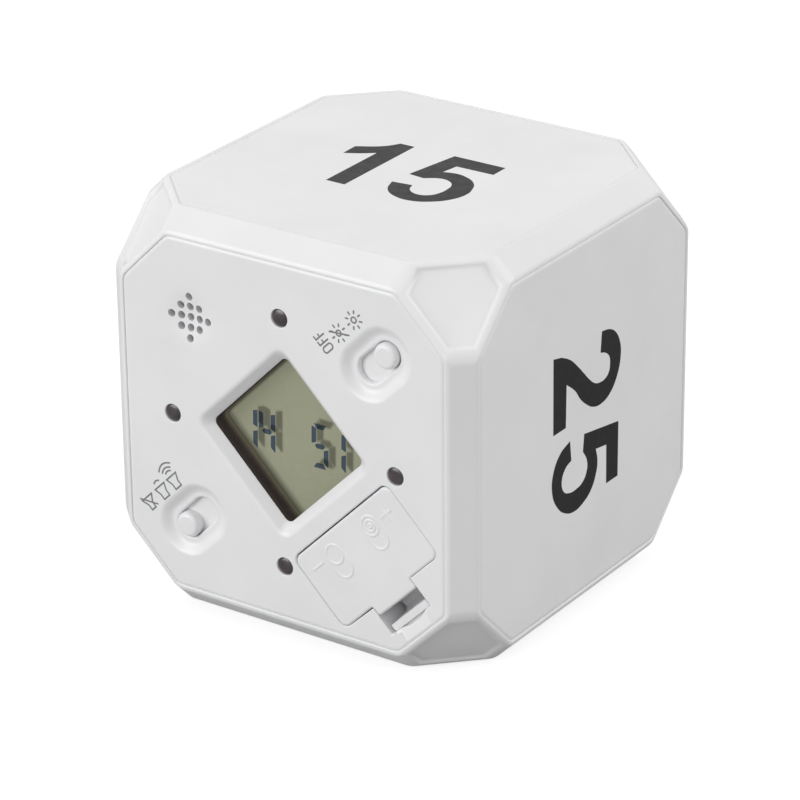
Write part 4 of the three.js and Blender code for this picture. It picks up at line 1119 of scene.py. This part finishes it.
door = {
    "half": 11.66, "top": -13.88, "bottom": -26.46, "round": 1.36, "thickness": 1.5,
    "edge": 0.38, "edgeSteps": 5, "tabHalf": 4.56, "tabEnd": -28.12, "tabRound": 0.45,
    "padInner": -30.48, "padOuter": -31.33, "padDepth": 1.9, "padEdge": 0.15, "padRound": 0.2,
    "latchHalf": 4.15, "latchThickness": 0.95, "latchLegs": (-27.525, -30.65), "latchFoot": -30.2,
    "latchBend": 4.5, "latchTop": 0.6, "latchLap": 0.3, "latchTip": 0.5, "latchEdge": 0.1, "latchFlat": 0.75,
    "hookPlace": 7.2, "hookHalf": 2.0, "hookRoot": 0.9, "hookReach": 1.25, "hookThickness": 0.9,
    "hookGap": 0.12, "hookFront": 2.1, "neckFront": 0.75, "seatFront": 1.2,
    "lineWidth": 0.5, "lineHeight": 0.085, "lineSunk": 0.2,
}
marks = {
    "minus": (-8.35, -17.0), "plus": (8.25, -17.2), "barHalf": 1.25, "cells": 4.45, "level": -17.1,
    "radius": 1.5, "body": 2.3, "bodyWider": 0.08, "bodyEnd": 0.9,
    "nubs": ((0.85, 32), (0.3, 16)),  # radius and steps
}


def doorOutline(inset):
    side, top, bottom = door["half"] - inset, door["top"] - inset, door["bottom"] + inset
    tab, end = door["tabHalf"] - inset, door["tabEnd"] + inset
    corners = [(side, bottom), (side, top), (-side, top), (-side, bottom),
               (-tab, bottom), (-tab, end), (tab, end), (tab, bottom)]
    own, small = door["round"] - inset, door["tabRound"]
    return rounded(corners, [own] * 4 + [small + inset, small - inset, small - inset, small + inset], 6)


def doorBody(bm):
    layers = [(0, door["thickness"])] + easeProfile(door["edge"], door["edgeSteps"])
    loft(bm, [ring(doorOutline(inset), depth) for inset, depth in layers])


def latchBody(bm):
    # one band: down from the tab, round the bend and up to the finger edge
    first, last = door["latchLegs"]
    radius, top = (first - door["latchFoot"]) / 2, -door["latchTop"]
    turns = [quarter * i / 6 for i in range(13)]
    path = [(first, -door["thickness"] + door["latchLap"])]
    for t in turns:
        path.append((first - radius + radius * math.cos(t), -door["latchBend"] - radius * math.sin(t)))
    path += [(last, top - door["latchTip"]), (last, top)]
    side, share = door["latchHalf"], door["latchFlat"]
    edge = side - door["latchEdge"]
    section = [(-1, -edge), (-share, -side), (share, -side), (1, -edge),
               (1, edge), (share, side), (-share, side), (-1, edge)]
    strip(bm, path, door["latchThickness"], section)
    # laid out along the tab, in depth and across, then turned to across, along the tab and in depth
    turn = Matrix(((0, 0, 1, 0), (1, 0, 0, 0), (0, 1, 0, 0), (0, 0, 0, 1)))
    bmesh.ops.transform(bm, matrix=turn, verts=bm.verts)


def fingerPad(bm):
    # the latch's outer leg ends in a flat pad for a finger nail
    side, inner, outer, top = door["latchHalf"], door["padInner"], door["padOuter"], door["latchTop"]
    rings = []
    soft = [(inset, sink + top) for inset, sink in easeProfile(door["padEdge"], 4)]
    for edge, depth in [(0, door["padDepth"])] + soft:
        corners = [(side - edge, outer + edge), (side - edge, inner - edge),
                   (edge - side, inner - edge), (edge - side, outer + edge)]
        rings.append(ring(rounded(corners, door["padRound"], 3), depth))
    loft(bm, rings)


def raisedLines():
    # a minus, a plus and the two cells seen end-on, one with its nub
    long, level, radius = marks["barHalf"], marks["level"], marks["radius"]
    lines = [([(x - long, y), (x + long, y)], False) for x, y in (marks["minus"], marks["plus"])]
    x, y = marks["plus"]
    lines.append(([(x, y - long), (x, y + long)], False))
    wide, end = radius + marks["bodyWider"], level - marks["bodyEnd"]
    for x in (marks["cells"], -marks["cells"]):
        lines.append((circle(radius, 48, x, level), True))
        bottom = arc(x, level - marks["body"], wide, 4 * quarter, -2 * quarter, 24)
        lines.append(([(x + wide, end)] + bottom + [(x - wide, end)], False))
    return lines + [(circle(nub, steps, marks["cells"], level), True) for nub, steps in marks["nubs"]]


def raisedLine(bm, points, closed):
    high, sunk = door["lineHeight"], -door["lineSunk"]
    section = [(-1, sunk), (1, sunk), (1, 0.0), (0.75, high * 0.7), (0.35, high),
               (-0.35, high), (-0.75, high * 0.7), (-1, 0.0)]
    strip(bm, points, door["lineWidth"], section, closed)


contact = {
    "half": 8.9, "side": 3.4, "round": 0.9, "edge": 0.07, "front": 1.8, "back": 2.1, "overhang": 0.9,
    "pegPlace": 1.35, "pegRadius": 0.75, "pegHead": 0.35, "pegTip": 0.1, "pegFront": 1.4, "cells": 5.5,
    "pegDome": ((0.6, 0.3), (0.25, 0.2), (0.0, 0.05)),  # inset and height
    "button": [(0.3, 1.0), (0.9, 0.97), (1.25, 0.86), (1.5, 0.66), (1.7, 0.4), (2.0, 0.16), (2.5, 0.0),
               (2.5, -0.1)],
    "turns": 3.5, "flatShare": 0.17, "foot": 2.8, "tip": 1.7, "wire": 0.25, "length": 3.2,
}


def contactPlate(bm, x, y):
    long, wide = contact["half"], contact["side"]
    rings = []
    for inset, depth in ((contact["edge"], contact["back"]), (0, contact["back"] - contact["edge"]),
                         (0, contact["front"] + contact["edge"]), (contact["edge"], contact["front"])):
        corners = rectangle(long - inset, wide - inset, x, y)
        rings.append(ring(rounded(corners, contact["round"] - inset, 6), depth))
    loft(bm, rings)


def makeDoorContact():
    # one strip joins the two cells: a pressed button for one and a coil spring for the other
    x, y = panelPlace("door_contact")
    obj = solid("doorContact", contactPlate, x, y, material=nickel)
    button = [(radius, contact["back"] + depth) for radius, depth in contact["button"]]
    combine(obj, [solid("button", turned, button, 40, x + contact["cells"], y)], "UNION")
    spring = grow(pointsObject("spring", []), coil, {
        "Turns": contact["turns"], "Flat Share": contact["flatShare"], "Foot Radius": contact["foot"],
        "Tip Radius": contact["tip"], "Height": contact["length"] - 2 * contact["wire"],
        "Wire Radius": contact["wire"], "Material": nickel})
    down = Matrix.Translation((x - contact["cells"], y, -contact["back"] - contact["wire"]))
    spring.data.transform(down @ Matrix.Rotation(2 * quarter, 4, "X"))
    return rideOn(smooth(toFace(join(obj, spring)), 40), "door", "plated_steel", "door_contact")


def makeDoor():
    obj = solid("batteryDoor", doorBody)
    top, deep = door["top"], door["hookFront"] + door["hookThickness"]
    gap, root = door["hookGap"], top - door["hookRoot"] - door["hookGap"]
    added = [solid("latch", latchBody), solid("pad", fingerPad)]
    for side in (1, -1):
        x, wide = side * door["hookPlace"], door["hookHalf"]
        for high, front in ((top - gap, door["neckFront"]),
                            (top + door["hookReach"] - gap, door["hookFront"])):
            added.append(solid("hook", block, x - wide, root, x + wide, high, deep, front))
    # the seat of the cells' contact and the two pegs melted over it
    x, y = panelPlace("door_contact")
    long, wide = contact["half"] - contact["overhang"], contact["side"] - contact["overhang"]
    added.append(solid("seat", brick, x, y, long, wide, contact["front"], door["seatFront"]))
    radius, head, back = contact["pegRadius"], contact["pegHead"], contact["back"]
    peg = [(contact["pegTip"], back + head)]
    peg += [(radius * (1 - inset / head * 0.5), back + height) for inset, height in contact["pegDome"]]
    peg.append((radius, contact["pegFront"]))
    added += [solid("peg", turned, peg, 24, x + side * contact["pegPlace"], y) for side in (1, -1)]
    combine(obj, added, "UNION")
    combine(obj, [solid("line", raisedLine, points, closed) for points, closed in raisedLines()], "UNION")
    return rideOn(smooth(toFace(obj), 40), "door", "housing", "battery_door")


makeDoor()
makeDoorContact()
print("door done")


# Printed numerals, laid out as outlines: a run of three or more points is a curve

numerals = {
    "1": [[[(7.6, 18.2)], [(5.1, 18.2), (3.7, 16.1), (0, 13.6)], [(0.1, 10.4), (2.3, 11.6), (4.3, 13.1)],
           [(4.3, 0), (7.6, 0)]]],
    "2": [[[(0, 0), (12.1, 0.1)], [(12.1, 3.5)],
           [(5.3, 3.6), (7.2, 6.0), (9.1, 7.5), (10.4, 9.0), (11.6, 11.0), (11.95, 13.2), (11.3, 15.5),
            (9.3, 17.5), (6.1, 18.6), (3.8, 18.3), (1.8, 17.0), (0.8, 15.3), (0.4, 13.2)],
           [(3.7, 12.9), (4.2, 14.3), (5.2, 15.4), (6.1, 15.6), (7.6, 15.3), (8.3, 14.3), (8.4, 13.0),
            (8.0, 11.5), (6.9, 10.0), (5.4, 8.5), (3.4, 6.5), (1.7, 4.5), (0.5, 2.2)]]],
    "4": [[[(7.0, 0), (10.3, 0)], [(10.3, 4.0), (12.4, 4.0)], [(12.4, 7.0), (10.3, 7.0)],
           [(10.3, 18.2), (6.9, 18.2)], [(0.2, 7.2), (0.2, 4.0)], [(7.0, 4.0)]],
          [[(3.3, 7.0), (7.0, 7.0)], [(7.0, 13.0)]]],
    "5": [[[(2.0, 18.2), (10.95, 18.2)], [(10.95, 14.95), (4.55, 14.85)],
           [(4.1, 11.9), (6.15, 12.4), (7.95, 12.1), (10.35, 10.6), (11.65, 8.1), (11.95, 6.2), (11.25, 3.6),
            (9.35, 1.3), (6.45, -0.1), (3.45, 0.2), (1.15, 1.9), (0, 4.7)],
           [(3.3, 5.1), (3.95, 3.5), (5.75, 2.5), (7.55, 3.1), (8.35, 4.6), (8.5, 6.3), (8.05, 8.3),
            (6.75, 9.4), (5.15, 9.5), (3.1, 8.3)],
           [(0.4, 8.6)]]],
}
printed = {  # numeral and its left edge on each face
    "top": (("1", -11.9), ("5", 0.85)), "right": (("2", -12.6), ("5", 2.05)),
    "left": (("5", -6.0),), "bottom": (("4", -13.2), ("5", 1.0)),
}
ink = {"baseline": -9.1, "proud": 0.015, "sunk": 0.03, "curveSteps": 6}


def makeNumerals(face):
    data = bpy.data.curves.new("numeral outlines", "CURVE")
    data.dimensions = "2D"
    data.fill_mode = "BOTH"
    data.resolution_u = ink["curveSteps"]
    data.extrude = (ink["proud"] + ink["sunk"]) / 2
    for digit, left in printed[face]:
        for outline in numerals[digit]:
            places = [(point, len(run) > 2 and 0 < i < len(run) - 1)
                      for run in outline for i, point in enumerate(run)]
            spline = data.splines.new("BEZIER")
            spline.bezier_points.add(len(places) - 1)
            spline.use_cyclic_u = True
            for knot, ((x, y), curved) in zip(spline.bezier_points, places):
                knot.co = (left + x, ink["baseline"] + y, 0)
                knot.handle_left_type = knot.handle_right_type = "AUTO" if curved else "VECTOR"
    curve = addObject("numeral outlines", data)
    mesh = bpy.data.meshes.new_from_object(curve.evaluated_get(bpy.context.evaluated_depsgraph_get()))
    bpy.data.objects.remove(curve)
    bm = bmesh.new()
    bm.from_mesh(mesh)
    bmesh.ops.remove_doubles(bm, verts=bm.verts, dist=1e-4)
    bmesh.ops.translate(bm, verts=bm.verts, vec=(0, 0, (ink["proud"] - ink["sunk"]) / 2))
    obj = makeObject(face + "Numerals", bm, faceMatrix(face), numeralInk)
    return rideOn(obj, "case", "housing")


for face in printed:
    makeNumerals(face)


# Printed switch signs: OFF, lamp struck out, lamp; sounder struck out, low, loud

sign = {
    "stroke": 0.25, "proud": 0.012, "sunk": 0.04, "step": 0.003,
    "letterO": ((17.2, 6.62), (19.1, 6.62), (19.1, 5.68), (17.2, 5.68)), "letterRound": 0.44,
    "stems": (7.15, 8.15), "stemEnds": (19.15, 17.1), "bars": ((17.22, 0.65), (18.1, 0.55)),  # the letters F
    "lamps": ((21.4, 6.77), (25.1, 6.77)), "lampRing": 0.43,
    "rayCount": 8, "rayRadius": 1.2, "rayLength": 0.58,
    "strikes": (((20.1, 7.9), (22.8, 5.5)), ((-29.8, 7.6), (-27.4, 5.2))),
    "horns": (((-29.7, -27.25), (-29.1, -28.1)), ((-26.2, -23.8), (-25.75, -24.35)),
              ((-23.05, -20.65), (-22.6, -21.2))),  # both sides of the mouth, both of the foot
    "hornLevels": (7.1, 6.0, 5.1),
    "waves": (((-25.7, 7.85), (-25.05, 8.05), (-24.35, 7.8)), ((-22.55, 7.8), (-21.9, 8.0), (-21.2, 7.75)),
              ((-23.0, 8.2), (-21.9, 8.6), (-20.85, 8.15)), ((-23.4, 8.7), (-21.9, 9.3), (-20.4, 8.65))),
    "waveSteps": 8,
}


def soundWave(first, middle, last):
    # a parabola from the first point through the middle one to the last
    (x1, y1), (x2, y2), (x3, y3) = first, middle, last
    pullX, pullY = 2 * x2 - (x1 + x3) / 2, 2 * y2 - (y1 + y3) / 2
    shares = [i / sign["waveSteps"] for i in range(sign["waveSteps"] + 1)]
    return [((1 - t) ** 2 * x1 + 2 * t * (1 - t) * pullX + t * t * x3,
             (1 - t) ** 2 * y1 + 2 * t * (1 - t) * pullY + t * t * y3) for t in shares]


def signLines():
    # points on the panel, and whether the line closes
    lines = [(rounded(sign["letterO"], sign["letterRound"], 5), True)]
    for stem in sign["stems"]:
        lines.append(([(x, stem) for x in sign["stemEnds"]], False))
        lines += [([(x, stem), (x, stem + length)], False) for x, length in sign["bars"]]
    lines += [(circle(sign["lampRing"], 24, *place), True) for place in sign["lamps"]]
    lines += [(strike, False) for strike in sign["strikes"]]
    mouth, neck, foot = sign["hornLevels"]
    for (a, b), (c, d) in sign["horns"]:
        lines.append(([(a, mouth), (c, neck), (c, foot), (d, foot), (d, neck), (b, mouth)], True))
    return lines + [(soundWave(*wave), False) for wave in sign["waves"]]


def makeSigns():
    bm = bmesh.new()
    for i, (points, closed) in enumerate(signLines()):
        top = sign["proud"] + sign["step"] * (i % 3)
        section = [(-1, -sign["sunk"]), (1, -sign["sunk"]), (1, top), (-1, top)]
        strip(bm, points, sign["stroke"], section, closed)
    obj = onPanel("switchSigns", bm, signInk)
    for x, y in sign["lamps"]:
        grown = grow(pointsObject("rays", []), rays, {
            "Count": sign["rayCount"], "Radius": sign["rayRadius"], "Length": sign["rayLength"],
            "Width": sign["stroke"], "Thickness": 2 * sign["proud"] + 4 * sign["step"], "Material": signInk})
        grown.data.transform(Matrix.Translation((x, y, 0)))
        join(obj, grown)
    return rideOn(toFace(obj), "case", "housing")


makeSigns()
print("prints done")


# Inside: screws, cells and springs are rebuilt finer, the rest keeps its CAD shape and gets its material

screw = {
    "shank": 0.85, "length": 6.0, "tip": 1.2, "tipRadius": 0.03, "headHeight": 1.2,
    "crown": [(1.3, 0), (1.5, 0.08), (1.66, 0.22), (1.76, 0.42), (1.8, 0.6)],  # radius and drop from the top
    "headFoot": [(1.8, 0.05), (1.74, 0)],
    "recess": 0.9, "recessWidth": 0.35, "recessDepth": 0.7, "recessAbove": 1,
}


def makeScrews():
    deep, length = screw["headHeight"], screw["length"]
    profile = [(radius, deep - drop) for radius, drop in screw["crown"]] + screw["headFoot"]
    profile += [(screw["shank"], 0), (screw["shank"], -length + screw["tip"]), (screw["tipRadius"], -length)]
    part = solid("oneScrew", turned, profile, 32, material=zincSteel)
    reach, width = screw["recess"], screw["recessWidth"] / 2
    ends = (deep + screw["recessAbove"], deep - screw["recessDepth"])
    combine(part, [solid("slot", brick, 0, 0, reach, width, *ends),
                   solid("slot", brick, 0, 0, width, reach, *ends)], "DIFFERENCE")
    places = [(*panelPlace(node), depthOf(node, 1) - deep) for node in screwNodes]
    obj = grow(pointsObject("screws", places), scatter, {"Part": part, "Material": zincSteel})
    bpy.data.objects.remove(part)
    return rideOn(smooth(toFace(obj)), "case", "plated_steel", *screwNodes)


makeScrews()

cell = {
    "radius": 5.25, "edge": 0.6, "length": 44.5, "tipRadius": 0.02, "lip": 4.1, "lipWall": 0.1, "curl": 0.3,
    "flatEnd": [(0.9, 0.0), (0.7, 0.12), (0.0, 0.12)],  # inset from the lip, and depth
    "nub": 1.9, "nubHeight": 1.0, "nubFoot": 0.7, "nubRise": 0.1, "nubRound": 0.25,
}


def makeCell(node, name, flatOut):
    x, y = panelPlace(node)
    first, last = depthOf(node, 0), depthOf(node, 1)
    r, e, tip, lip, nub = (cell[key] for key in ("radius", "edge", "tipRadius", "lip", "nub"))
    length, wall = cell["length"], lip + cell["lipWall"]
    shoulder = length - cell["nubHeight"]
    curl = shoulder - cell["curl"]
    turns = [quarter * i / 5 for i in range(6)]
    profile = [(tip, 0.0)] + [(lip - inset, depth) for inset, depth in cell["flatEnd"]] + [(wall, 0.0)]
    profile += [(r - e + e * math.sin(t), e * (1 - math.cos(t))) for t in turns]
    profile += [(r - e + e * math.cos(t), shoulder - e + e * math.sin(t)) for t in turns]
    profile += [(wall, shoulder), (lip, curl), (nub + cell["nubFoot"], curl),
                (nub, shoulder + cell["nubRise"]), (nub, length - cell["nubRound"]),
                (nub - cell["nubRound"], length), (tip, length)]
    places = [(radius, first + at if flatOut else last - at) for radius, at in profile]
    obj = solid(name, turned, places[::-1] if flatOut else places, 64, x, y, material=cellSleeve)
    obj.data.materials.append(tinnedCan)
    middle = Vector((x, y))
    for polygon in obj.data.polygons:
        reach = max((obj.data.vertices[i].co.xy - middle).length for i in polygon.vertices)
        if reach < lip + cell["lipWall"] / 2:
            polygon.material_index = 1
    return rideOn(smooth(toFace(obj)), "case", "cell_sleeve", node)


makeCell("cell_flat_end_out", "cellFlatEndOut", True)
makeCell("cell_nub_end_out", "cellNubEndOut", False)

cadFinishes = {
    naturalAbs: ("display_holder", "battery_tube"),
    clearAcrylic: ("display_window",),
    siliconeRubber: ("display_connector",),
    laminate: ("circuit_board",),
    blackNylon: ("controller_chip", "tilt_sensor", "sounder", "lamp_switch_lever", "sound_switch_lever"),
    tinnedCan: ("clock_crystal", "lamp_switch_can", "sound_switch_can"),
    nickel: ("positive_terminal", "negative_terminal"),
    foam: ("sounder_foam",),
    redPvc: ("positive_wire",),
    blackPvc: ("negative_wire",),
}
for material, names in cadFinishes.items():
    for name in names:
        nodes[name].data.materials.clear()
        nodes[name].data.materials.append(material)
print("inside done")


# Floor, light and camera

stage = {
    "floor": "#aaaaaa", "floorSize": 4.0, "floorGlow": 0.72, "fibre": 1.5, "fibreDepth": 0.01,
    "ambient": 0.66,
    "lamps": {  # size, distance, azimuth and elevation as seen from the cube, power
        "front softbox": (1.2, 1.6, -30, 15, 14.0),
        "rear softbox": (1.2, 1.6, 115, 35, 9.1),
    },
}
camera = {
    "azimuth": 34.50, "elevation": 24.54, "roll": -0.57, "distance": 584.2,
    "across": -0.889, "upwards": -4.65, "lens": 175.36, "sensor": 36, "clip": (0.01, 20),
}


def wayTo(azimuth, elevation):
    a, e = math.radians(azimuth), math.radians(elevation)
    return Vector((math.sin(a) * math.cos(e), -math.cos(a) * math.cos(e), math.sin(e)))


def makeFloor():
    # matt white paper: its own glow towards the camera makes the background white and keeps the shadow
    material = bpy.data.materials.new("white paper sweep")
    tree = emptyTree(material)
    where = addNode(tree, "ShaderNodeTexCoord").outputs["Object"]
    fibre = addNode(tree, "ShaderNodeTexNoise", {
        "Vector": where, "Scale": 1 / (stage["fibre"] * mm), "Detail": 3.0})
    relief = addNode(tree, "ShaderNodeBump", {
        "Height": fibre.outputs["Fac"], "Distance": stage["fibreDepth"] * mm, "Strength": 0.3})
    paper = addNode(tree, "ShaderNodeBsdfDiffuse", {
        "Color": linear(stage["floor"]), "Normal": relief.outputs["Normal"]})
    paths = addNode(tree, "ShaderNodeLightPath").outputs
    seen = addNode(tree, "ShaderNodeMath", {
        0: paths["Is Camera Ray"], 1: paths["Is Transmission Ray"]}, operation="MAXIMUM")
    glow = addNode(tree, "ShaderNodeMath", {0: seen.outputs[0], 1: stage["floorGlow"]}, operation="MULTIPLY")
    light = addNode(tree, "ShaderNodeEmission", {"Strength": glow.outputs[0]})
    both = addNode(tree, "ShaderNodeAddShader", {0: paper.outputs[0], 1: light.outputs[0]})
    addNode(tree, "ShaderNodeOutputMaterial", {"Surface": both.outputs[0]})
    bm = bmesh.new()
    side = stage["floorSize"] / 2
    bm.faces.new([bm.verts.new((x, y, 0)) for x, y in rectangle(side, side)])
    makeObject("floor", bm, unmoved, material)


def makeWorld():
    world = bpy.data.worlds.new("studio")
    bpy.context.scene.world = world
    tree = emptyTree(world)
    paths = addNode(tree, "ShaderNodeLightPath").outputs
    mirrored = addNode(tree, "ShaderNodeMath", {
        0: paths["Is Glossy Ray"], 1: paths["Is Transmission Ray"]}, operation="MAXIMUM")
    seen = addNode(tree, "ShaderNodeMath", {
        0: paths["Is Camera Ray"], 1: mirrored.outputs[0]}, operation="MAXIMUM")
    strength = addNode(tree, "ShaderNodeMapRange", {
        "Value": seen.outputs[0], "To Min": stage["ambient"], "To Max": 1.0})
    sky = addNode(tree, "ShaderNodeBackground", {
        "Color": (1, 1, 1, 1), "Strength": strength.outputs["Result"]})
    addNode(tree, "ShaderNodeOutputWorld", {"Surface": sky.outputs[0]})


def makeLamps():
    middle = up * half * mm
    for name, (size, distance, azimuth, elevation, power) in stage["lamps"].items():
        data = bpy.data.lights.new(name, "AREA")
        data.shape = "DISK"
        data.size = size
        data.energy = power
        softbox = addObject(name, data)
        way = wayTo(azimuth, elevation)
        softbox.location = middle + way * distance
        softbox.rotation_euler = way.to_track_quat("Z", "Y").to_euler()


def makeCamera():
    data = bpy.data.cameras.new("camera")
    data.lens = camera["lens"]
    data.sensor_width = camera["sensor"]
    obj = addObject("camera", data)
    way = wayTo(camera["azimuth"], camera["elevation"])
    level = (-way).cross(up).normalized()
    upright = level.cross(-way)
    c, s = math.cos(math.radians(camera["roll"])), math.sin(math.radians(camera["roll"]))
    across, upwards = level * c + upright * s, upright * c - level * s
    offset = way * camera["distance"] + across * camera["across"] + upwards * camera["upwards"]
    turn = Matrix((across, upwards, way)).transposed().to_4x4()
    obj.matrix_world = Matrix.Translation((up * half + offset) * mm) @ turn
    data.clip_start, data.clip_end = camera["clip"]
    bpy.context.scene.camera = obj


makeFloor()
makeWorld()
makeLamps()
makeCamera()
bpy.context.scene.view_settings.view_transform = "Standard"
print("stage done")
